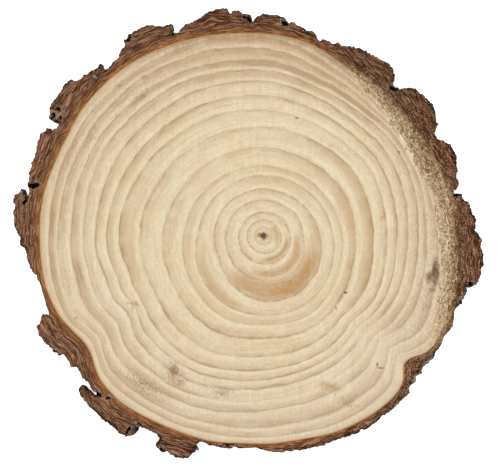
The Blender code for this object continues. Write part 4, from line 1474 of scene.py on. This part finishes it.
print("bark layers, nodes so far:", len(tree.nodes))

# %% [markdown]
# Next to the wood lies the orange inner bark, widest at the left. The broken rims get near black painted
# shade, with grey flakes on them, and the lips of the hollows are pale. The torn face and its streaks run on
# from the wood.

# %% Inner bark, rims and torn face
BARK_MARKS = (      # x, y, half length, half width, direction, look, strength
    (-84.2, 79.6, 2.4, 1.8, 0, (52, 36, 26), 0.75),
    (-84.7, 79.9, 1.1, 0.7, 0, (176, 162, 142), 0.8),
    (-83.6, 79.0, 0.9, 0.6, 0, (160, 146, 126), 0.7),
    (-106.4, 62.4, 1.4, 0.9, 0, (160, 148, 130), 0.85),
    (-103.3, 60.4, 0.9, 1.7, 0, (160, 146, 122), 0.85),
    (-106.7, 59.4, 0.7, 1.0, 0, (124, 112, 98), 0.7),
)
inner_side = eased(tree, east, 0.75, -0.35, 0.12, 1.0)
inner_reach = plus(tree, from_wood, swing(tree, patches, 3.0))
inner_share = times(tree, inner_side, eased(tree, inner_reach, 3.0, 1.0),
                    eased(tree, layer_mix, 0.42, 0.54, 0.5, 0.92))
inner_look = blend(tree, eased(tree, layer_mix, 0.44, 0.57), seen(122, 72, 36), seen(186, 130, 82))
# How far the painted shade reaches in from the bark's broken rims: patchy, and further on the east side.
rim_shade_reach = plus(tree, to_rim, swing(tree, grain, 5.0), sums(tree, "MULTIPLY_ADD", patches, 5.0, -2.2))
rim_shade_reach = sums(tree, "SUBTRACT", rim_shade_reach, eased(tree, east, 0.2, 0.7, 0.0, 0.3))
flaked = plus(tree, grain, times(tree, to_rim, -0.06))
crumbs = placed_group(tree, crumb_group, {"Place": place, "Scale": 1.15})
dusty = times(tree, eased(tree, east, 0.25, 0.8), eased(tree, from_wood, 14.0, 3.0))
torn_face = placed_group(tree, torn_group, {"Place": place, "Tone": stored(tree, "torn_tone")})
cut = coated(
    tree, cut,
    (times(tree, inner_side, eased(tree, inner_reach, 5.0, 1.5, 0.0, 0.42)), (138, 88, 54)),
    (inner_share, inner_look),
    (eased(tree, from_wood, 0.7, 0.0, 0.0, 0.5), (170, 120, 72)),
    # Painted shade: near black along the broken rims.
    (eased(tree, rim_shade_reach, 1.3, 0.25, 0.0, 0.88), (40, 28, 20)),
    (eased(tree, flaked, 0.50, 0.60, 0.0, 0.5), (152, 124, 104)),
    (times(tree, dusty, crumbs["Dark"], 0.7), (62, 40, 28)),
    (times(tree, dusty, crumbs["Pale"], 0.5), (182, 148, 118)),
    (stored(tree, "torn"), torn_face["Colour"]),
    (times(tree, stored(tree, "pale"), eased(tree, grain, 0.35, 0.6, 0.2, 1.0), 0.85), (228, 204, 164)),
    (times(tree, stored(tree, "lip"), eased(tree, grain, 0.46, 0.60), 0.8), (172, 156, 136)),
)
cut = marked(tree, cut, flat_place, grain, BARK_MARKS)
print("cut bark, nodes so far:", len(tree.nodes))

# %% [markdown]
# The side isn't in the photograph. It is made as old pine bark looks: grey scales, redder where one has
# flaked off a level deeper, with hairline cracks and red-brown fissures whose depth is near black painted
# shade.

# %% Bark side and surface
flakes = noise(tree, place, 0.55, 4.0, 0.65)
cracks = add(tree, "ShaderNodeTexVoronoi", {
    "Vector": vector_sum(tree, "ADD", place, vector_sum(tree, "SCALE", outward, times(tree, flakes, 6.0))),
    "Scale": 0.34}, feature="DISTANCE_TO_EDGE").outputs["Distance"]
fissure = plus(tree, stored(tree, "fissure"), swing(tree, flakes, 2.4))
side = coated(
    tree,
    ramp(tree, plus(tree, stored(tree, "scale"), swing(tree, flakes, 1.3)), (
        (0.0, (164, 148, 132)), (0.28, (138, 116, 100)), (0.5, (122, 94, 77)), (0.72, (106, 75, 57)),
        (1.0, (86, 58, 44)))),
    (eased(tree, cracks, 0.07, 0.01, 0.0, 0.4), (70, 47, 36)),
    (times(tree, stored(tree, "scale_edge"), 0.7), (66, 44, 33)),
    (eased(tree, fissure, 0.1, 0.7, 0.0, 0.8), (88, 54, 38)),
    # Painted shade: near black in the depth of the fissures.
    (eased(tree, fissure, 0.5, 1.1, 0.0, 0.9), (42, 30, 25)),
)
colour = coated(
    tree, cut,
    (stored(tree, "skin"), side),
    # Painted shade: near black in the hollows.
    (times(tree, stored(tree, "hollow"), eased(tree, grain, 0.62, 0.5, 0.45, 0.94)), (28, 20, 16)),
)
saw = placed_group(tree, saw_group, {"Place": place})["Shade"]
shade = times(tree, sums(tree, "MULTIPLY_ADD", saw, 0.10, 0.95), eased(tree, grain, 0.2, 0.8, 0.82, 1.15))
finished(tree, shader, plus(tree, times(tree, layer_mix, 1.8), grain), 0.8, 0.8, {
    "Base Color": shaded(tree, colour, shade),
    "Roughness": eased(tree, grain, 0.3, 0.7, 0.82, 0.95),
    "Specular IOR Level": 0.08,
})
bark_piece.data.materials.append(bark_material)
print("bark material nodes:", len(tree.nodes))

# %% [markdown]
# ## The crumbs' finish
# Crumbs are the same wood and bark as their bed, some paler and some darker. The shade that each one
# drew picks its colour between the two, and the tone of its place turns it brown past the wood's edge.

# %% Crumb material
crumb_material, tree, shader = new_material("torn_bits")
place, _, _ = from_pith(tree)
drawn = stored(tree, "shade")
wooden = ramp(tree, drawn, ((0.0, (124, 88, 54)), (0.4, (194, 163, 122)), (0.9, (240, 222, 190))))
barky = ramp(tree, drawn, ((0.0, (82, 52, 32)), (0.5, (142, 105, 72)), (0.9, (220, 190, 150))))
colour = blend(tree, eased(tree, stored(tree, "torn_tone"), -1.5, 3.0), wooden, barky)
speckle = eased(tree, noise(tree, place, 2.5, 3.0, 0.7), 0.3, 0.7, 0.85, 1.1)
finished(tree, shader, speckle, 0.4, 0.1, {
    "Base Color": shaded(tree, colour, speckle), "Roughness": 0.8, "Specular IOR Level": 0.25})
for piece in (crumb_piece, fibre_piece):
    piece.data.materials.append(crumb_material)
print("crumb material nodes:", len(tree.nodes))

# %% [markdown]
# ## Floor and sky
# The slice lies flat, as on a light table. The floor is plain and pale and gives a little light of its
# own, so that it reads as white from above. The sky is plain white too and fills the shadows.

# %% Floor and sky
FLOOR_HALF = 60.0       # in metres, far past the view of a low camera
FLOOR_LOOK = {
    "Base Color": (0.86, 0.86, 0.86, 1.0), "Roughness": 0.95, "Specular IOR Level": 0.0,
    "Emission Color": (1.0, 1.0, 1.0, 1.0), "Emission Strength": 0.72,
}
SKY_STRENGTH = 0.74
floor_material, tree, shader = new_material("studio_floor")
connect(tree, shader, FLOOR_LOOK)
floor_mesh = bpy.data.meshes.new("floor")
floor_corners = FLOOR_HALF * np.array([(-1, -1, 0), (1, -1, 0), (1, 1, 0), (-1, 1, 0)])
floor_mesh.from_pydata(floor_corners.tolist(), [], [(0, 1, 2, 3)])
floor_mesh.materials.append(floor_material)
floor = bpy.data.objects.new("floor", floor_mesh)
bpy.context.scene.collection.objects.link(floor)

world = bpy.data.worlds.new("studio")
world.use_nodes = True
connect(world.node_tree, world.node_tree.nodes["Background"], {
    "Color": (1.0, 1.0, 1.0, 1.0), "Strength": SKY_STRENGTH})
bpy.context.scene.world = world
print("floor, m across:", 2 * FLOOR_HALF)

# %% [markdown]
# ## Lamps
# The light in the photograph is soft and comes a little more from the upper left. A sun would draw hard
# shadows, so two large square lamps are used: a stronger one at the upper left and a weaker one opposite.

# %% Lamps
LAMPS = (       # name, place and size in metres, power in watts
    ("key_lamp", (-2.4, 2.6, 6.8), 4.0, 192.0),
    ("fill_lamp", (3.0, -2.2, 6.8), 4.8, 128.0),
)
for name, place, size, power in LAMPS:
    lamp_data = bpy.data.lights.new(name, "AREA")
    lamp_data.size = size
    lamp_data.energy = power
    lamp = bpy.data.objects.new(name, lamp_data)
    lamp.location = place
    lamp.rotation_mode = "QUATERNION"
    lamp.rotation_quaternion = (-Vector(place)).to_track_quat("-Z", "Y")
    bpy.context.scene.collection.objects.link(lamp)
print("lamps:", [name for name, _, _, _ in LAMPS])

# %% [markdown]
# ## Camera
# The slice is seen from straight above. The camera has a long lens and stands far off, so that the
# bark's sides stay hidden, as they do in the photograph.

# %% Camera
LENS = 500.0
SENSOR = 36.0
VIEW_WIDTH = 248.5      # millimetres across the photograph's frame, at the top face
VIEW_RISE = 0.25        # the slice lies this far below the middle of the frame
camera_data = bpy.data.cameras.new("camera")
camera_data.lens = LENS
camera_data.sensor_width = SENSOR
camera = bpy.data.objects.new("camera", camera_data)
camera.location = (0.0, VIEW_RISE * MM, (THICKNESS + VIEW_WIDTH * LENS / SENSOR) * MM)
bpy.context.scene.collection.objects.link(camera)
bpy.context.scene.camera = camera
bpy.context.scene.view_settings.view_transform = "Standard"
print("camera height, m:", round(camera.location.z, 3))
